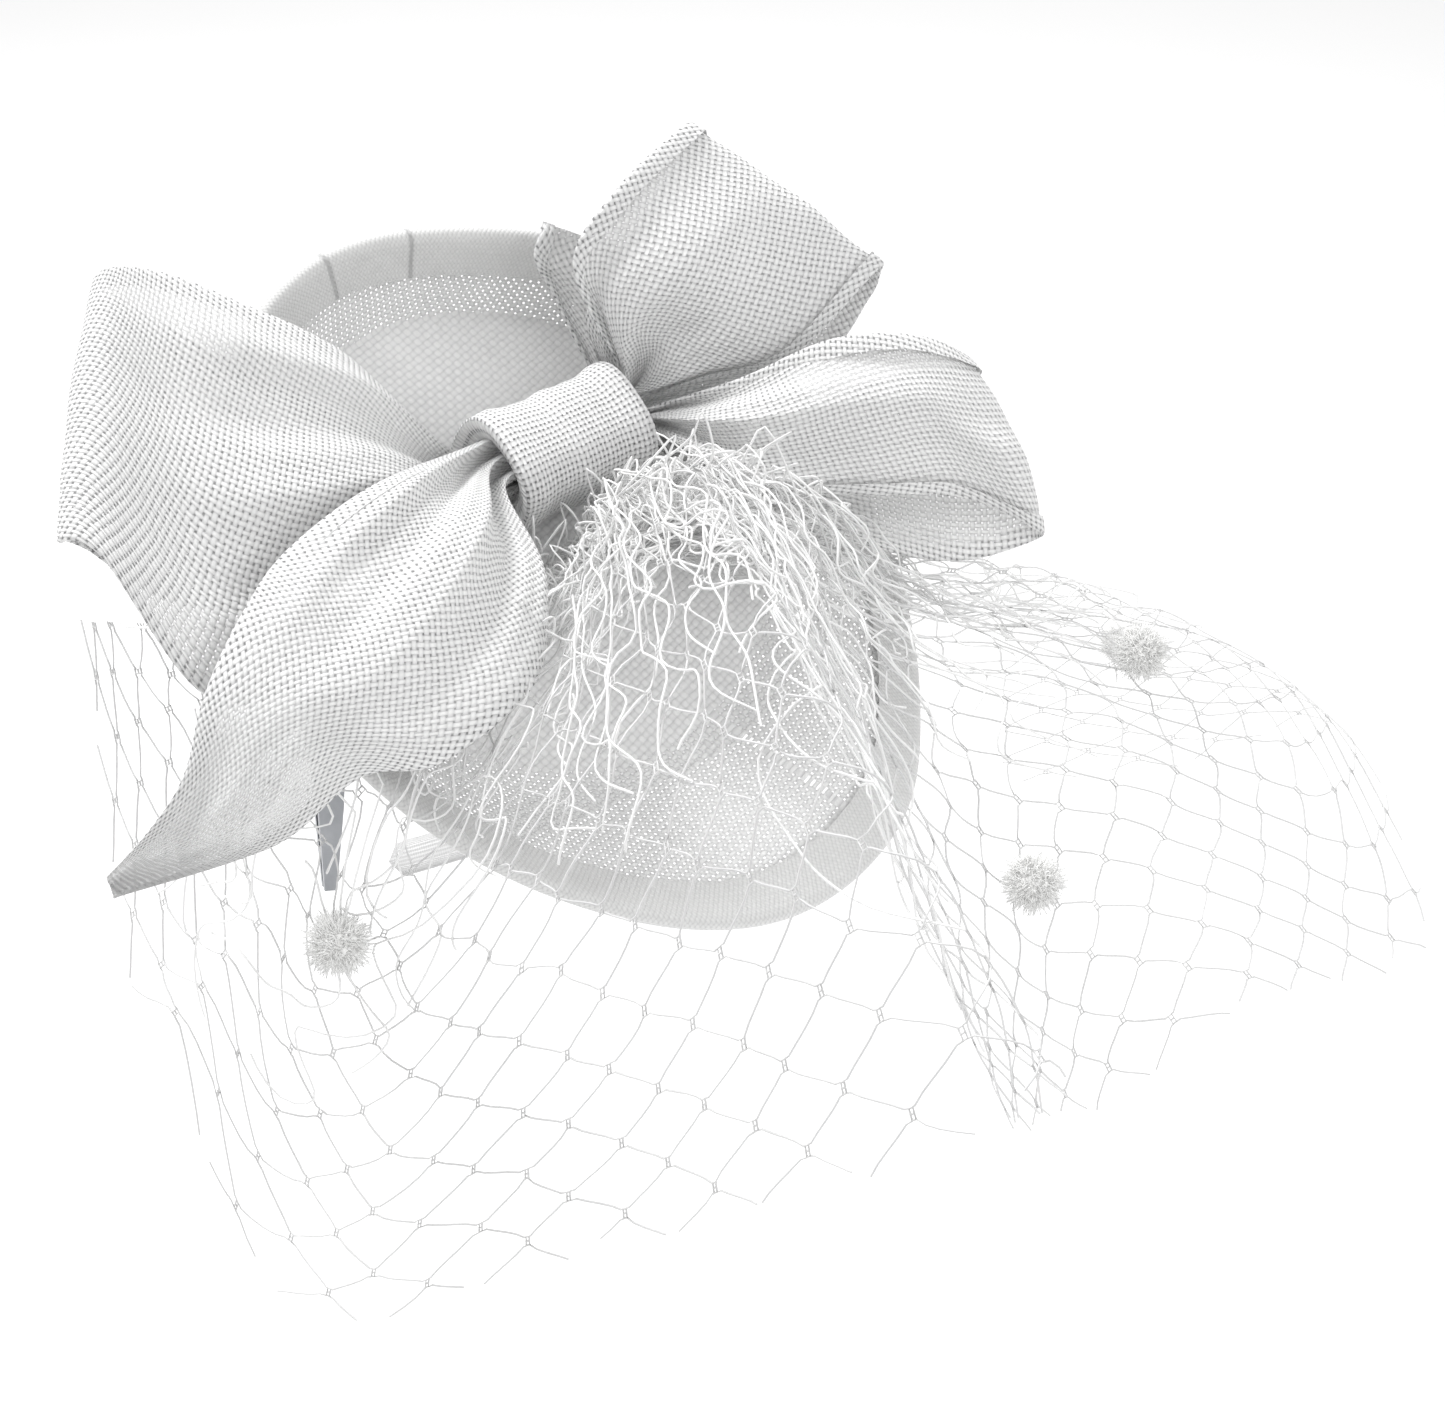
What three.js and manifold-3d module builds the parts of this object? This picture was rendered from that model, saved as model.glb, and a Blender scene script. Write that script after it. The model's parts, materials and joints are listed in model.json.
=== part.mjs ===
// Bow-trimmed oval saucer hat with a birdcage veil, white straw cloth, in millimetres.
// The hat is modelled flat in its own group, with the underside of its floor at the origin,
// and the group is then turned to the tilt at which it is worn. The wearer faces -Y, +Z is up.
import * as THREE from 'three';
import Module from 'manifold-3d';
import { mergeVertices } from 'three/addons/utils/BufferGeometryUtils.js';

// Worn attitude of the hat, in degrees
const leanForward = 29.8;
const leanSide = 22.0;
const turn = -38.5;

// Cloth, wire and running gaps
const clothWall = 1.2;
const baseWall = 1.6;
const gap = 0.35;

// Saucer base: round floor, longer oval rim
const floorRadius = 50;
const floorShift = 4;
const rimHalfLength = 80;
const rimHalfWidth = 67;
const rimShift = 18;
const wallHeight = 22;

// Folded ribbon over the rim
const bindingWidth = 9;
const bindingWall = 1.1;
const bindingRoll = 1.6;
const bindingClear = 0.665;
const bindingCrown = 0.2;
const bindingShoulder = 0.6;

// Knot of the bow
const knotLength = 32;
const knotWidth = 24;
const knotHeight = 24;
const knotX = -5;
const knotY = 14;
const knotTurn = -15;
const knotSquareness = 0.75;
const knotSeat = 0.97;
const layerStep = 5.9;

// Bow: reach of each loop and tail from the knot, depth of the pleats at the knot
const leftLoopReach = 95;
const topLoopReach = 75;
const rightLoopReach = 95;
const frontTailReach = 125;
const backTailReach = 60;
const pleatDepth = 2.3;
const bowRise = 100;

// Mouths where the ribbons enter the knot: half widths, shift to each side, depth inside and outside
const wideMouth = 5.8;
const narrowMouth = 2.9;
const mouthShift = 4.4;
const mouthInside = 0.1;
const mouthOutside = 3;
const insidePleat = 0.7;
const outsidePleat = 0.75;

// Veil
const veilDrop = 100;
const veilColumns = 13;
const veilRows = 5;
const netBar = 1.8;
const netWall = 1.2;
const gatherGap = 2.5;

// Chenille dots: radii, locks round a head and how deep they are cut
const dotRadius = 5.2;
const smallDotRadius = 3.4;
const dotLocks = 7;
const lockDepth = 0.14;

// Headband: a strip bent to a C, turned about the hat's middle and rolled round its own centre
const bandRadius = 61.4;
const bandLeg = 90;
const bandCurl = 38.3;
const bandWidth = 9.5;
const bandWall = 2.4;
const bandX = 23.1;
const bandY = 4.9;
const bandTurn = 144.3;
const bandRoll = 25.7;
const bandEndShare = 0.5;

// Sprung clip under the floor: its hinge, the way it points and its two jaws
const clipX = -12;
const clipY = -40.5;
const clipHeading = -38.5;
const clipSlope = 31;
const jawLength = 53;
const jawWidth = 7;
const jawTipWidth = 2.4;
const jawWall = 1;
const tabLength = 9;
const leverLength = 7;
const pinRadius = 1;
const pinSink = 1.2;
const pinClear = 0.3;
const earShare = 0.7;

// Small steps for slopes, as shares of a turn, of a ribbon's length and of the veil
const turnStep = 0.002;
const ribbonStep = 0.01;
const veilStep = 0.004;

const wasm = await Module();
wasm.setup();

const rad = THREE.MathUtils.degToRad;
const V = (x, y, z) => new THREE.Vector3(x, y, z);

const straw = { color: 0xf1f1ef, roughness: 0.75, metalness: 0 };
const satin = { color: 0xf4f4f2, roughness: 0.45, metalness: 0 };
const thread = { color: 0xf3f3f1, roughness: 0.6, metalness: 0 };
const chenille = { color: 0xefefed, roughness: 0.95, metalness: 0 };
const steel = { color: 0xb9bbbd, roughness: 0.3, metalness: 1 };

function node(name, geometry, finish) {
  const mesh = new THREE.Mesh(geometry, new THREE.MeshStandardMaterial(finish));
  mesh.name = name;
  return mesh;
}

// Catmull-Rom value at t (0 to 1) through a list of vectors or numbers
function spline(points, t, closed = false) {
  const count = closed ? points.length : points.length - 1;
  const place = Math.min(Math.max(t, 0), 1) * count;
  const i = Math.min(Math.floor(place), count - 1);
  const f = place - i;
  const at = (k) => {
    if (closed) return points[(k + points.length) % points.length];
    return points[Math.min(Math.max(k, 0), points.length - 1)];
  };
  const [p0, p1, p2, p3] = [at(i - 1), at(i), at(i + 1), at(i + 2)];
  const mix = (a, b, c, d) => 0.5 * (2 * b + (c - a) * f + (2 * a - 5 * b + 4 * c - d) * f * f
    + (3 * b - a - 3 * c + d) * f * f * f);
  if (typeof p1 === 'number') return mix(p0, p1, p2, p3);
  return V(mix(p0.x, p1.x, p2.x, p3.x), mix(p0.y, p1.y, p2.y, p3.y), mix(p0.z, p1.z, p2.z, p3.z));
}

// Collects shared points and triangles, then makes one indexed geometry
class Shell {
  constructor() {
    this.points = [];
    this.faces = [];
  }

  point(p) {
    this.points.push(p.x, p.y, p.z);
    return this.points.length / 3 - 1;
  }

  quad(a, b, c, d) {
    this.faces.push(a, b, c, a, c, d);
  }

  geometry() {
    const made = new THREE.BufferGeometry();
    made.setAttribute('position', new THREE.Float32BufferAttribute(this.points, 3));
    made.setIndex(this.faces);
    made.computeVertexNormals();
    return made;
  }
}

// Unit normals of a grid of points, rows wrapping round when asked
function gridNormals(grid, wrap) {
  const rows = grid.length;
  const columns = grid[0].length;
  return grid.map((row, i) => row.map((_, j) => {
    const before = wrap ? (i + rows - 1) % rows : Math.max(i - 1, 0);
    const after = wrap ? (i + 1) % rows : Math.min(i + 1, rows - 1);
    const along = grid[after][j].clone().sub(grid[before][j]);
    const across = row[Math.min(j + 1, columns - 1)].clone().sub(row[Math.max(j - 1, 0)]);
    return along.cross(across).normalize();
  }));
}

// A sheet of even thickness on a grid of points, closed round all its edges
function sheet(grid, wall, wrap = false) {
  const shell = new Shell();
  const rows = grid.length;
  const columns = grid[0].length;
  const normals = gridNormals(grid, wrap);
  const side = (offset) => grid.map((row, i) => row.map((p, j) =>
    shell.point(p.clone().addScaledVector(normals[i][j], offset))));
  const top = side(wall / 2);
  const low = side(-wall / 2);
  const spans = wrap ? rows : rows - 1;
  for (let i = 0; i < spans; i += 1) {
    const n = (i + 1) % rows;
    for (let j = 0; j < columns - 1; j += 1) {
      shell.quad(top[i][j], top[n][j], top[n][j + 1], top[i][j + 1]);
      shell.quad(low[i][j], low[i][j + 1], low[n][j + 1], low[n][j]);
    }
    const last = columns - 1;
    shell.quad(top[n][0], top[i][0], low[i][0], low[n][0]);
    shell.quad(top[i][last], top[n][last], low[n][last], low[i][last]);
  }
  if (!wrap) {
    const last = rows - 1;
    for (let j = 0; j < columns - 1; j += 1) {
      shell.quad(top[0][j], top[0][j + 1], low[0][j + 1], low[0][j]);
      shell.quad(top[last][j + 1], top[last][j], low[last][j], low[last][j + 1]);
    }
  }
  return shell.geometry();
}

// A tube of closed sections that wraps round on itself
function ring(sections) {
  const shell = new Shell();
  const ids = sections.map((section) => section.map((p) => shell.point(p)));
  const rows = ids.length;
  const columns = ids[0].length;
  for (let i = 0; i < rows; i += 1) {
    const n = (i + 1) % rows;
    for (let j = 0; j < columns; j += 1) {
      const k = (j + 1) % columns;
      shell.quad(ids[i][j], ids[n][j], ids[n][k], ids[i][k]);
    }
  }
  return shell.geometry();
}

// Solid for joining, from any geometry of this file
function toSolid(geometry) {
  const bare = geometry.clone();
  bare.deleteAttribute('normal');
  bare.deleteAttribute('uv');
  const merged = mergeVertices(bare, 1e-4);
  return new wasm.Manifold(new wasm.Mesh({
    numProp: 3,
    vertProperties: new Float32Array(merged.attributes.position.array),
    triVerts: new Uint32Array(merged.index.array),
  }));
}

function fromSolid(solid) {
  const mesh = solid.getMesh();
  const made = new THREE.BufferGeometry();
  made.setAttribute('position', new THREE.Float32BufferAttribute(mesh.vertProperties, 3));
  made.setIndex(Array.from(mesh.triVerts));
  made.computeVertexNormals();
  return made;
}

// Rim: reach and height by azimuth, as shares of the oval's half sizes and the wall's height
const rimRows = [
  { azimuth: 0, reach: 0.95, height: 0.80 },
  { azimuth: 30, reach: 0.94, height: 0.45 },
  { azimuth: 60, reach: 0.97, height: 0.45 },
  { azimuth: 90, reach: 0.99, height: 0.75 },
  { azimuth: 120, reach: 0.99, height: 0.92 },
  { azimuth: 150, reach: 0.95, height: 1.00 },
  { azimuth: 180, reach: 0.98, height: 1.06 },
  { azimuth: 210, reach: 1.00, height: 1.00 },
  { azimuth: 240, reach: 1.00, height: 0.90 },
  { azimuth: 270, reach: 1.00, height: 0.86 },
  { azimuth: 300, reach: 0.99, height: 0.86 },
  { azimuth: 330, reach: 0.99, height: 0.86 },
];

// Point of the rim's middle line at a turn of 0 to 1
function rimPoint(turnShare, outward = 0, lift = 0) {
  const angle = turnShare * Math.PI * 2;
  const reach = spline(rimRows.map((row) => row.reach), turnShare, true);
  const height = spline(rimRows.map((row) => row.height), turnShare, true) * wallHeight;
  return V(rimShift + (rimHalfLength * reach + outward) * Math.cos(angle),
    (rimHalfWidth * reach + outward) * Math.sin(angle), height + lift);
}

// Wall of the saucer between the floor's edge and the rim
const wallRows = [
  { out: 0, up: 0 },
  { out: 0.10, up: 0.03 },
  { out: 0.24, up: 0.16 },
  { out: 0.45, up: 0.42 },
  { out: 0.72, up: 0.72 },
  { out: 1, up: 1 },
];
const rimSteps = 48;
const floorTop = baseWall;

function floorPoint(turnShare, share) {
  const angle = turnShare * Math.PI * 2;
  return V(floorRadius * share * Math.cos(angle), floorShift + floorRadius * share * Math.sin(angle),
    baseWall / 2);
}

function wallPoint(turnShare, row) {
  const foot = floorPoint(turnShare, 1);
  const rim = rimPoint(turnShare);
  return V(foot.x + (rim.x - foot.x) * row.out, foot.y + (rim.y - foot.y) * row.out,
    foot.z + (rim.z - foot.z) * row.up);
}

function saucerBase() {
  const floorShares = [0.45, 0.8];
  const grid = [];
  for (let i = 0; i < rimSteps; i += 1) {
    const share = i / rimSteps;
    const row = floorShares.map((part) => floorPoint(share, part));
    wallRows.forEach((wall) => row.push(wallPoint(share, wall)));
    grid.push(row);
  }
  const normals = gridNormals(grid, true);
  const shell = new Shell();
  const side = (offset) => grid.map((row, i) => row.map((p, j) =>
    shell.point(p.clone().addScaledVector(normals[i][j], offset))));
  const under = side(baseWall / 2);
  const upper = side(-baseWall / 2);
  const centreUnder = shell.point(V(0, floorShift, 0));
  const centreUpper = shell.point(V(0, floorShift, baseWall));
  const last = grid[0].length - 1;
  for (let i = 0; i < rimSteps; i += 1) {
    const n = (i + 1) % rimSteps;
    shell.faces.push(centreUnder, under[n][0], under[i][0]);
    shell.faces.push(centreUpper, upper[i][0], upper[n][0]);
    for (let j = 0; j < last; j += 1) {
      shell.quad(under[i][j], under[n][j], under[n][j + 1], under[i][j + 1]);
      shell.quad(upper[i][j], upper[i][j + 1], upper[n][j + 1], upper[n][j]);
    }
    shell.quad(under[i][last], under[n][last], upper[n][last], upper[i][last]);
  }
  return shell.geometry();
}

// Ribbon folded over the rim: a U of even wall that follows the saucer's wall down both sides
function rimBinding() {
  const sections = [];
  for (let i = 0; i < rimSteps; i += 1) {
    const share = i / rimSteps;
    const rim = rimPoint(share);
    const lower = wallPoint(share, wallRows[wallRows.length - 2]);
    const down = lower.clone().sub(rim).normalize();
    const tangent = rimPoint((share + turnStep) % 1).sub(rimPoint((share + 1 - turnStep) % 1)).normalize();
    const inward = down.clone().cross(tangent).normalize();
    const inner = baseWall / 2 + bindingClear;
    const outer = inner + bindingWall;
    const crown = outer + bindingCrown;
    const shoulder = outer * bindingShoulder;
    const at = (side, depth) => rim.clone().addScaledVector(inward, side).addScaledVector(down, depth);
    sections.push([
      at(outer, bindingWidth), at(crown, bindingWidth / 2), at(outer, 0), at(shoulder, -bindingRoll),
      at(-shoulder, -bindingRoll), at(-outer, 0), at(-outer, bindingWidth),
      at(-inner, bindingWidth), at(-inner, -gap), at(inner, -gap), at(inner, bindingWidth),
    ]);
  }
  return ring(sections);
}

// Knot: its own axes, along the pinched ribbon and across it
const knotBottom = floorTop + gap;
const knotCentre = V(knotX, knotY, knotBottom + knotHeight / 2);
const knotAlong = V(-Math.sin(rad(knotTurn)), Math.cos(rad(knotTurn)), 0);
const knotAcross = V(Math.cos(rad(knotTurn)), Math.sin(rad(knotTurn)), 0);

function knotPoint(along, across, up) {
  return knotCentre.clone().addScaledVector(knotAlong, along).addScaledVector(knotAcross, across)
    .add(V(0, 0, up));
}

function bowKnot() {
  const around = 24;
  const lengthRows = [
    { along: -0.5, grow: 1.05 },
    { along: -0.25, grow: 0.99 },
    { along: 0, grow: knotSeat },
    { along: 0.25, grow: 0.99 },
    { along: 0.5, grow: 1.05 },
  ];
  const grid = [];
  for (let i = 0; i < around; i += 1) {
    const angle = (i / around) * Math.PI * 2;
    const square = (value) => Math.sign(value) * Math.abs(value) ** knotSquareness;
    const onFloor = Math.sin(angle) < -0.5;
    grid.push(lengthRows.map((row) => {
      const grow = onFloor ? knotSeat : row.grow;
      return knotPoint(row.along * knotLength,
        square(Math.cos(angle)) * (knotWidth - clothWall) / 2 * row.grow,
        square(Math.sin(angle)) * (knotHeight - clothWall) / 2 * grow);
    }));
  }
  return sheet(grid, clothWall, true);
}

// Sections of a bow loop or tail, as shares of its reach from the knot's centre for x and y and of
// the bow's rise for z: a and b are the ribbon's two edges, bulge its crown, pleat its folds' share
function ribbonPiece({ reach, mouth, rows, steps, columns, waves, endMouth }) {
  const place = ([x, y, z]) => knotCentre.clone().add(V(x * reach, y * reach, z * bowRise));
  const mouthRows = ({ end, across, halfWidth, up }) => {
    const inside = { along: end * mouthInside * knotLength, pleat: insidePleat };
    const outside = { along: end * (knotLength / 2 + mouthOutside), pleat: outsidePleat };
    return [inside, outside].map(({ along, pleat }) => ({
      a: knotPoint(along, across - halfWidth, up),
      b: knotPoint(along, across + halfWidth, up),
      bulge: 0,
      pleat,
    }));
  };
  const table = [
    ...mouthRows(mouth),
    ...rows.map((row) => ({ a: place(row.a), b: place(row.b), bulge: row.bulge * reach, pleat: row.pleat })),
    ...(endMouth ? mouthRows(endMouth).reverse() : []),
  ];
  const edgeA = table.map((row) => row.a);
  const edgeB = table.map((row) => row.b);
  const bulges = table.map((row) => row.bulge);
  const pleats = table.map((row) => row.pleat);
  const middle = edgeA.map((a, i) => a.clone().lerp(edgeB[i], 0.5));
  const grid = [];
  for (let i = 0; i <= steps; i += 1) {
    const t = i / steps;
    const a = spline(edgeA, t);
    const b = spline(edgeB, t);
    const forward = spline(middle, Math.min(t + ribbonStep, 1))
      .sub(spline(middle, Math.max(t - ribbonStep, 0)));
    const out = forward.cross(b.clone().sub(a)).normalize();
    const row = [];
    for (let j = 0; j <= columns; j += 1) {
      const v = j / columns;
      const crown = spline(bulges, t) * 4 * v * (1 - v);
      const fold = Math.max(spline(pleats, t), 0) * pleatDepth * Math.sin(v * waves * Math.PI * 2);
      row.push(a.clone().lerp(b, v).addScaledVector(out, crown + fold));
    }
    grid.push(row);
  }
  return sheet(grid, clothWall);
}

const leftLoop = {
  reach: leftLoopReach,
  mouth: { end: -1, across: 0, halfWidth: wideMouth, up: 0 },
  endMouth: { end: -1, across: 0, halfWidth: wideMouth, up: -layerStep },
  steps: 26,
  columns: 10,
  waves: 2.5,
  rows: [
    { a: [-0.37, -0.31, 0.19], b: [0.08, -0.56, 0.12], bulge: 0.01, pleat: 0.7 },
    { a: [-0.56, -0.43, 0.25], b: [0.05, -0.88, 0.16], bulge: 0.02, pleat: 0.6 },
    { a: [-0.67, -0.52, 0.29], b: [-0.05, -1.04, 0.21], bulge: 0.02, pleat: 0.2 },
    { a: [-0.73, -0.61, 0.31], b: [-0.33, -1.02, 0.28], bulge: 0.02, pleat: 0 },
    { a: [-0.74, -0.64, 0.27], b: [-0.40, -1.04, 0.25], bulge: 0.02, pleat: 0 },
    { a: [-0.71, -0.60, 0.22], b: [-0.38, -1.00, 0.21], bulge: 0.02, pleat: 0 },
    { a: [-0.58, -0.53, 0.18], b: [-0.19, -0.93, 0.18], bulge: 0.01, pleat: 0.2 },
    { a: [-0.36, -0.39, 0.12], b: [-0.02, -0.65, 0.11], bulge: 0, pleat: 0.6 },
  ],
};

const topLoop = {
  reach: topLoopReach,
  mouth: { end: 1, across: -mouthShift, halfWidth: narrowMouth, up: layerStep },
  endMouth: { end: 1, across: -mouthShift, halfWidth: narrowMouth, up: 0 },
  steps: 22,
  columns: 8,
  waves: 2,
  rows: [
    { a: [-0.27, 0.23, 0.24], b: [0.16, 0.37, 0.16], bulge: -0.02, pleat: 0.8 },
    { a: [-0.31, 0.37, 0.38], b: [0.28, 0.52, 0.24], bulge: -0.05, pleat: 0.4 },
    { a: [-0.31, 0.59, 0.44], b: [0.28, 0.84, 0.33], bulge: -0.03, pleat: 0 },
    { a: [-0.31, 0.66, 0.41], b: [0.29, 0.88, 0.31], bulge: -0.01, pleat: 0 },
    { a: [-0.29, 0.66, 0.35], b: [0.31, 0.86, 0.25], bulge: -0.02, pleat: 0 },
    { a: [-0.25, 0.48, 0.23], b: [0.33, 0.70, 0.16], bulge: -0.02, pleat: 0.3 },
    { a: [-0.21, 0.32, 0.09], b: [0.18, 0.43, 0.06], bulge: 0, pleat: 0.7 },
  ],
};

const rightLoop = {
  reach: rightLoopReach,
  mouth: { end: 1, across: mouthShift, halfWidth: narrowMouth, up: layerStep },
  endMouth: { end: 1, across: mouthShift, halfWidth: narrowMouth, up: 0 },
  steps: 24,
  columns: 8,
  waves: 2,
  rows: [
    { a: [0.19, 0.25, 0.28], b: [0.34, 0.13, 0.18], bulge: -0.03, pleat: 0.8 },
    { a: [0.27, 0.40, 0.37], b: [0.53, 0.28, 0.24], bulge: -0.05, pleat: 0.4 },
    { a: [0.37, 0.51, 0.41], b: [0.68, 0.42, 0.28], bulge: -0.05, pleat: 0.1 },
    { a: [0.46, 0.56, 0.43], b: [0.84, 0.48, 0.30], bulge: -0.03, pleat: 0 },
    { a: [0.50, 0.60, 0.38], b: [0.86, 0.50, 0.26], bulge: -0.03, pleat: 0 },
    { a: [0.42, 0.58, 0.27], b: [0.78, 0.40, 0.17], bulge: -0.02, pleat: 0.1 },
    { a: [0.33, 0.47, 0.15], b: [0.64, 0.32, 0.11], bulge: -0.01, pleat: 0.4 },
    { a: [0.22, 0.29, 0.05], b: [0.37, 0.22, 0.03], bulge: 0, pleat: 0.7 },
  ],
};

const frontTail = {
  reach: frontTailReach,
  mouth: { end: -1, across: 0, halfWidth: wideMouth, up: layerStep },
  steps: 20,
  columns: 10,
  waves: 2.5,
  rows: [
    { a: [-0.10, -0.39, 0.24], b: [0.18, -0.30, 0.18], bulge: 0.03, pleat: 0.8 },
    { a: [-0.10, -0.58, 0.28], b: [0.26, -0.43, 0.21], bulge: 0.04, pleat: 0.6 },
    { a: [-0.07, -0.70, 0.30], b: [0.25, -0.63, 0.22], bulge: 0.04, pleat: 0.2 },
    { a: [-0.02, -0.82, 0.29], b: [0.19, -0.72, 0.21], bulge: 0.03, pleat: 0 },
    { a: [0.03, -0.90, 0.24], b: [0.18, -0.84, 0.18], bulge: 0.02, pleat: 0 },
    { a: [0.05, -0.97, 0.18], b: [0.15, -0.91, 0.15], bulge: 0.01, pleat: 0 },
    { a: [0.05, -1.04, 0.12], b: [0.075, -1.05, 0.11], bulge: 0, pleat: 0 },
  ],
};

const backTail = {
  reach: backTailReach,
  mouth: { end: 1, across: -mouthShift, halfWidth: narrowMouth, up: -layerStep },
  steps: 10,
  columns: 8,
  waves: 2,
  rows: [
    { a: [-0.35, 0.37, 0.06], b: [-0.07, 0.57, 0.04], bulge: 0, pleat: 0.7 },
    { a: [-0.48, 0.34, 0.14], b: [-0.15, 0.67, 0.10], bulge: 0, pleat: 0.4 },
    { a: [-0.55, 0.42, 0.18], b: [-0.23, 0.70, 0.14], bulge: 0, pleat: 0 },
  ],
};

// Veil: one rib a row, from the gather round the knot to the cut hem. crest and over give x and y as
// shares of the rim's half sizes from its centre and z of the wall's height; mid and hem give z of the
// veil's drop. The ribs run from the wearer's right, round the front, to the back of the other side.
const veilRibs = [
  { crest: [-0.10, -0.21, 0.64], over: [-0.40, -0.94, 1.14],
    mid: [-0.65, -1.07, 0.04], hem: [-0.82, -1.00, -0.19] },
  { crest: [-0.07, -0.24, 0.68], over: [-0.23, -1.04, 1.09],
    mid: [-0.38, -1.19, -0.08], hem: [-0.49, -1.27, -0.37] },
  { crest: [-0.05, -0.25, 0.73], over: [-0.10, -1.10, 1.07],
    mid: [-0.07, -1.34, -0.12], hem: [-0.14, -1.55, -0.49] },
  { crest: [-0.03, -0.25, 0.82], over: [0.03, -1.10, 1.09],
    mid: [0.05, -1.42, -0.08], hem: [0.05, -1.61, -0.46] },
  { crest: [0.00, -0.24, 1.00], over: [0.15, -1.09, 1.18],
    mid: [0.24, -1.37, -0.12], hem: [0.53, -1.81, -0.72] },
  { crest: [0.00, -0.18, 1.27], over: [0.25, -1.01, 1.41],
    mid: [0.45, -1.37, 0.03], hem: [0.85, -1.82, -0.55] },
  { crest: [-0.03, -0.09, 1.50], over: [0.33, -0.93, 1.95],
    mid: [0.59, -1.28, 0.27], hem: [1.02, -1.57, -0.14] },
  { crest: [-0.04, -0.03, 1.68], over: [0.38, -0.81, 2.73],
    mid: [0.74, -1.18, 0.51], hem: [1.16, -1.42, 0.22] },
  { crest: [-0.04, 0.01, 1.82], over: [0.42, -0.72, 3.45],
    mid: [0.85, -1.09, 0.75], hem: [1.26, -1.31, 0.56] },
  { crest: [-0.03, 0.06, 2.00], over: [0.47, -0.64, 4.00],
    mid: [0.94, -0.99, 0.98], hem: [1.35, -1.22, 0.90] },
  { crest: [0.00, 0.12, 2.09], over: [0.53, -0.51, 4.09],
    mid: [1.01, -0.84, 1.01], hem: [1.45, -0.99, 1.01] },
  { crest: [0.04, 0.19, 2.05], over: [0.60, -0.30, 3.18],
    mid: [1.10, -0.55, 0.60], hem: [1.61, -0.60, 0.34] },
  { crest: [0.09, 0.27, 1.95], over: [0.57, 0.00, 2.41],
    mid: [1.25, -0.04, 0.34], hem: [1.84, -0.10, 0.08] },
  { crest: [0.16, 0.34, 1.91], over: [0.57, 0.21, 2.00],
    mid: [1.21, 0.33, 0.35], hem: [1.94, 0.36, 0.22] },
  { crest: [0.24, 0.42, 1.82], over: [0.59, 0.40, 1.73],
    mid: [1.26, 0.66, 0.36], hem: [2.12, 0.70, 0.19] },
  { crest: [0.31, 0.49, 1.59], over: [0.61, 0.57, 1.41],
    mid: [1.44, 0.99, 0.31], hem: [2.30, 1.06, 0.17] },
  { crest: [0.40, 0.57, 1.27], over: [0.65, 0.67, 1.05],
    mid: [1.41, 1.19, 0.29], hem: [2.20, 1.42, 0.09] },
  { crest: [0.45, 0.63, 1.00], over: [0.66, 0.76, 0.82],
    mid: [1.26, 1.45, 0.16], hem: [1.86, 2.03, -0.18] },
  { crest: [0.47, 0.69, 0.82], over: [0.62, 0.87, 0.73],
    mid: [1.02, 1.46, -0.01], hem: [1.65, 1.87, -0.61] },
  { crest: [0.45, 0.75, 0.68], over: [0.53, 0.94, 0.77],
    mid: [0.84, 1.30, -0.15], hem: [1.31, 1.54, -0.88] },
];

// Gather: where its ends lie along the knot, as shares of the knot's length, and how far it strays
const gatherRows = { from: -0.62, run: 1.3, spread: 0.42 };

function veilLines() {
  const rimPlace = ([x, y, z], scale) =>
    V(rimShift + x * rimHalfLength, y * rimHalfWidth, z * scale);
  const seat = floorTop + gap + netWall / 2;
  return veilRibs.map(({ crest, over, mid, hem }, k) => {
    const share = k / (veilRibs.length - 1);
    const start = knotPoint(knotLength * (gatherRows.from + gatherRows.run * share),
      knotWidth / 2 + gatherGap + knotWidth * gatherRows.spread * share, 0);
    start.z = seat;
    return [start, rimPlace(crest, wallHeight), rimPlace(over, wallHeight),
      rimPlace(mid, veilDrop), rimPlace(hem, veilDrop)];
  });
}

function veilPoint(lines, u, v) {
  return spline(lines.map((line) => spline(line, v)), u);
}

function veilNormal(lines, u, v) {
  const du = veilPoint(lines, u + veilStep, v).sub(veilPoint(lines, u - veilStep, v));
  const dv = veilPoint(lines, u, v + veilStep).sub(veilPoint(lines, u, v - veilStep));
  return du.cross(dv).normalize();
}

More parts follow.
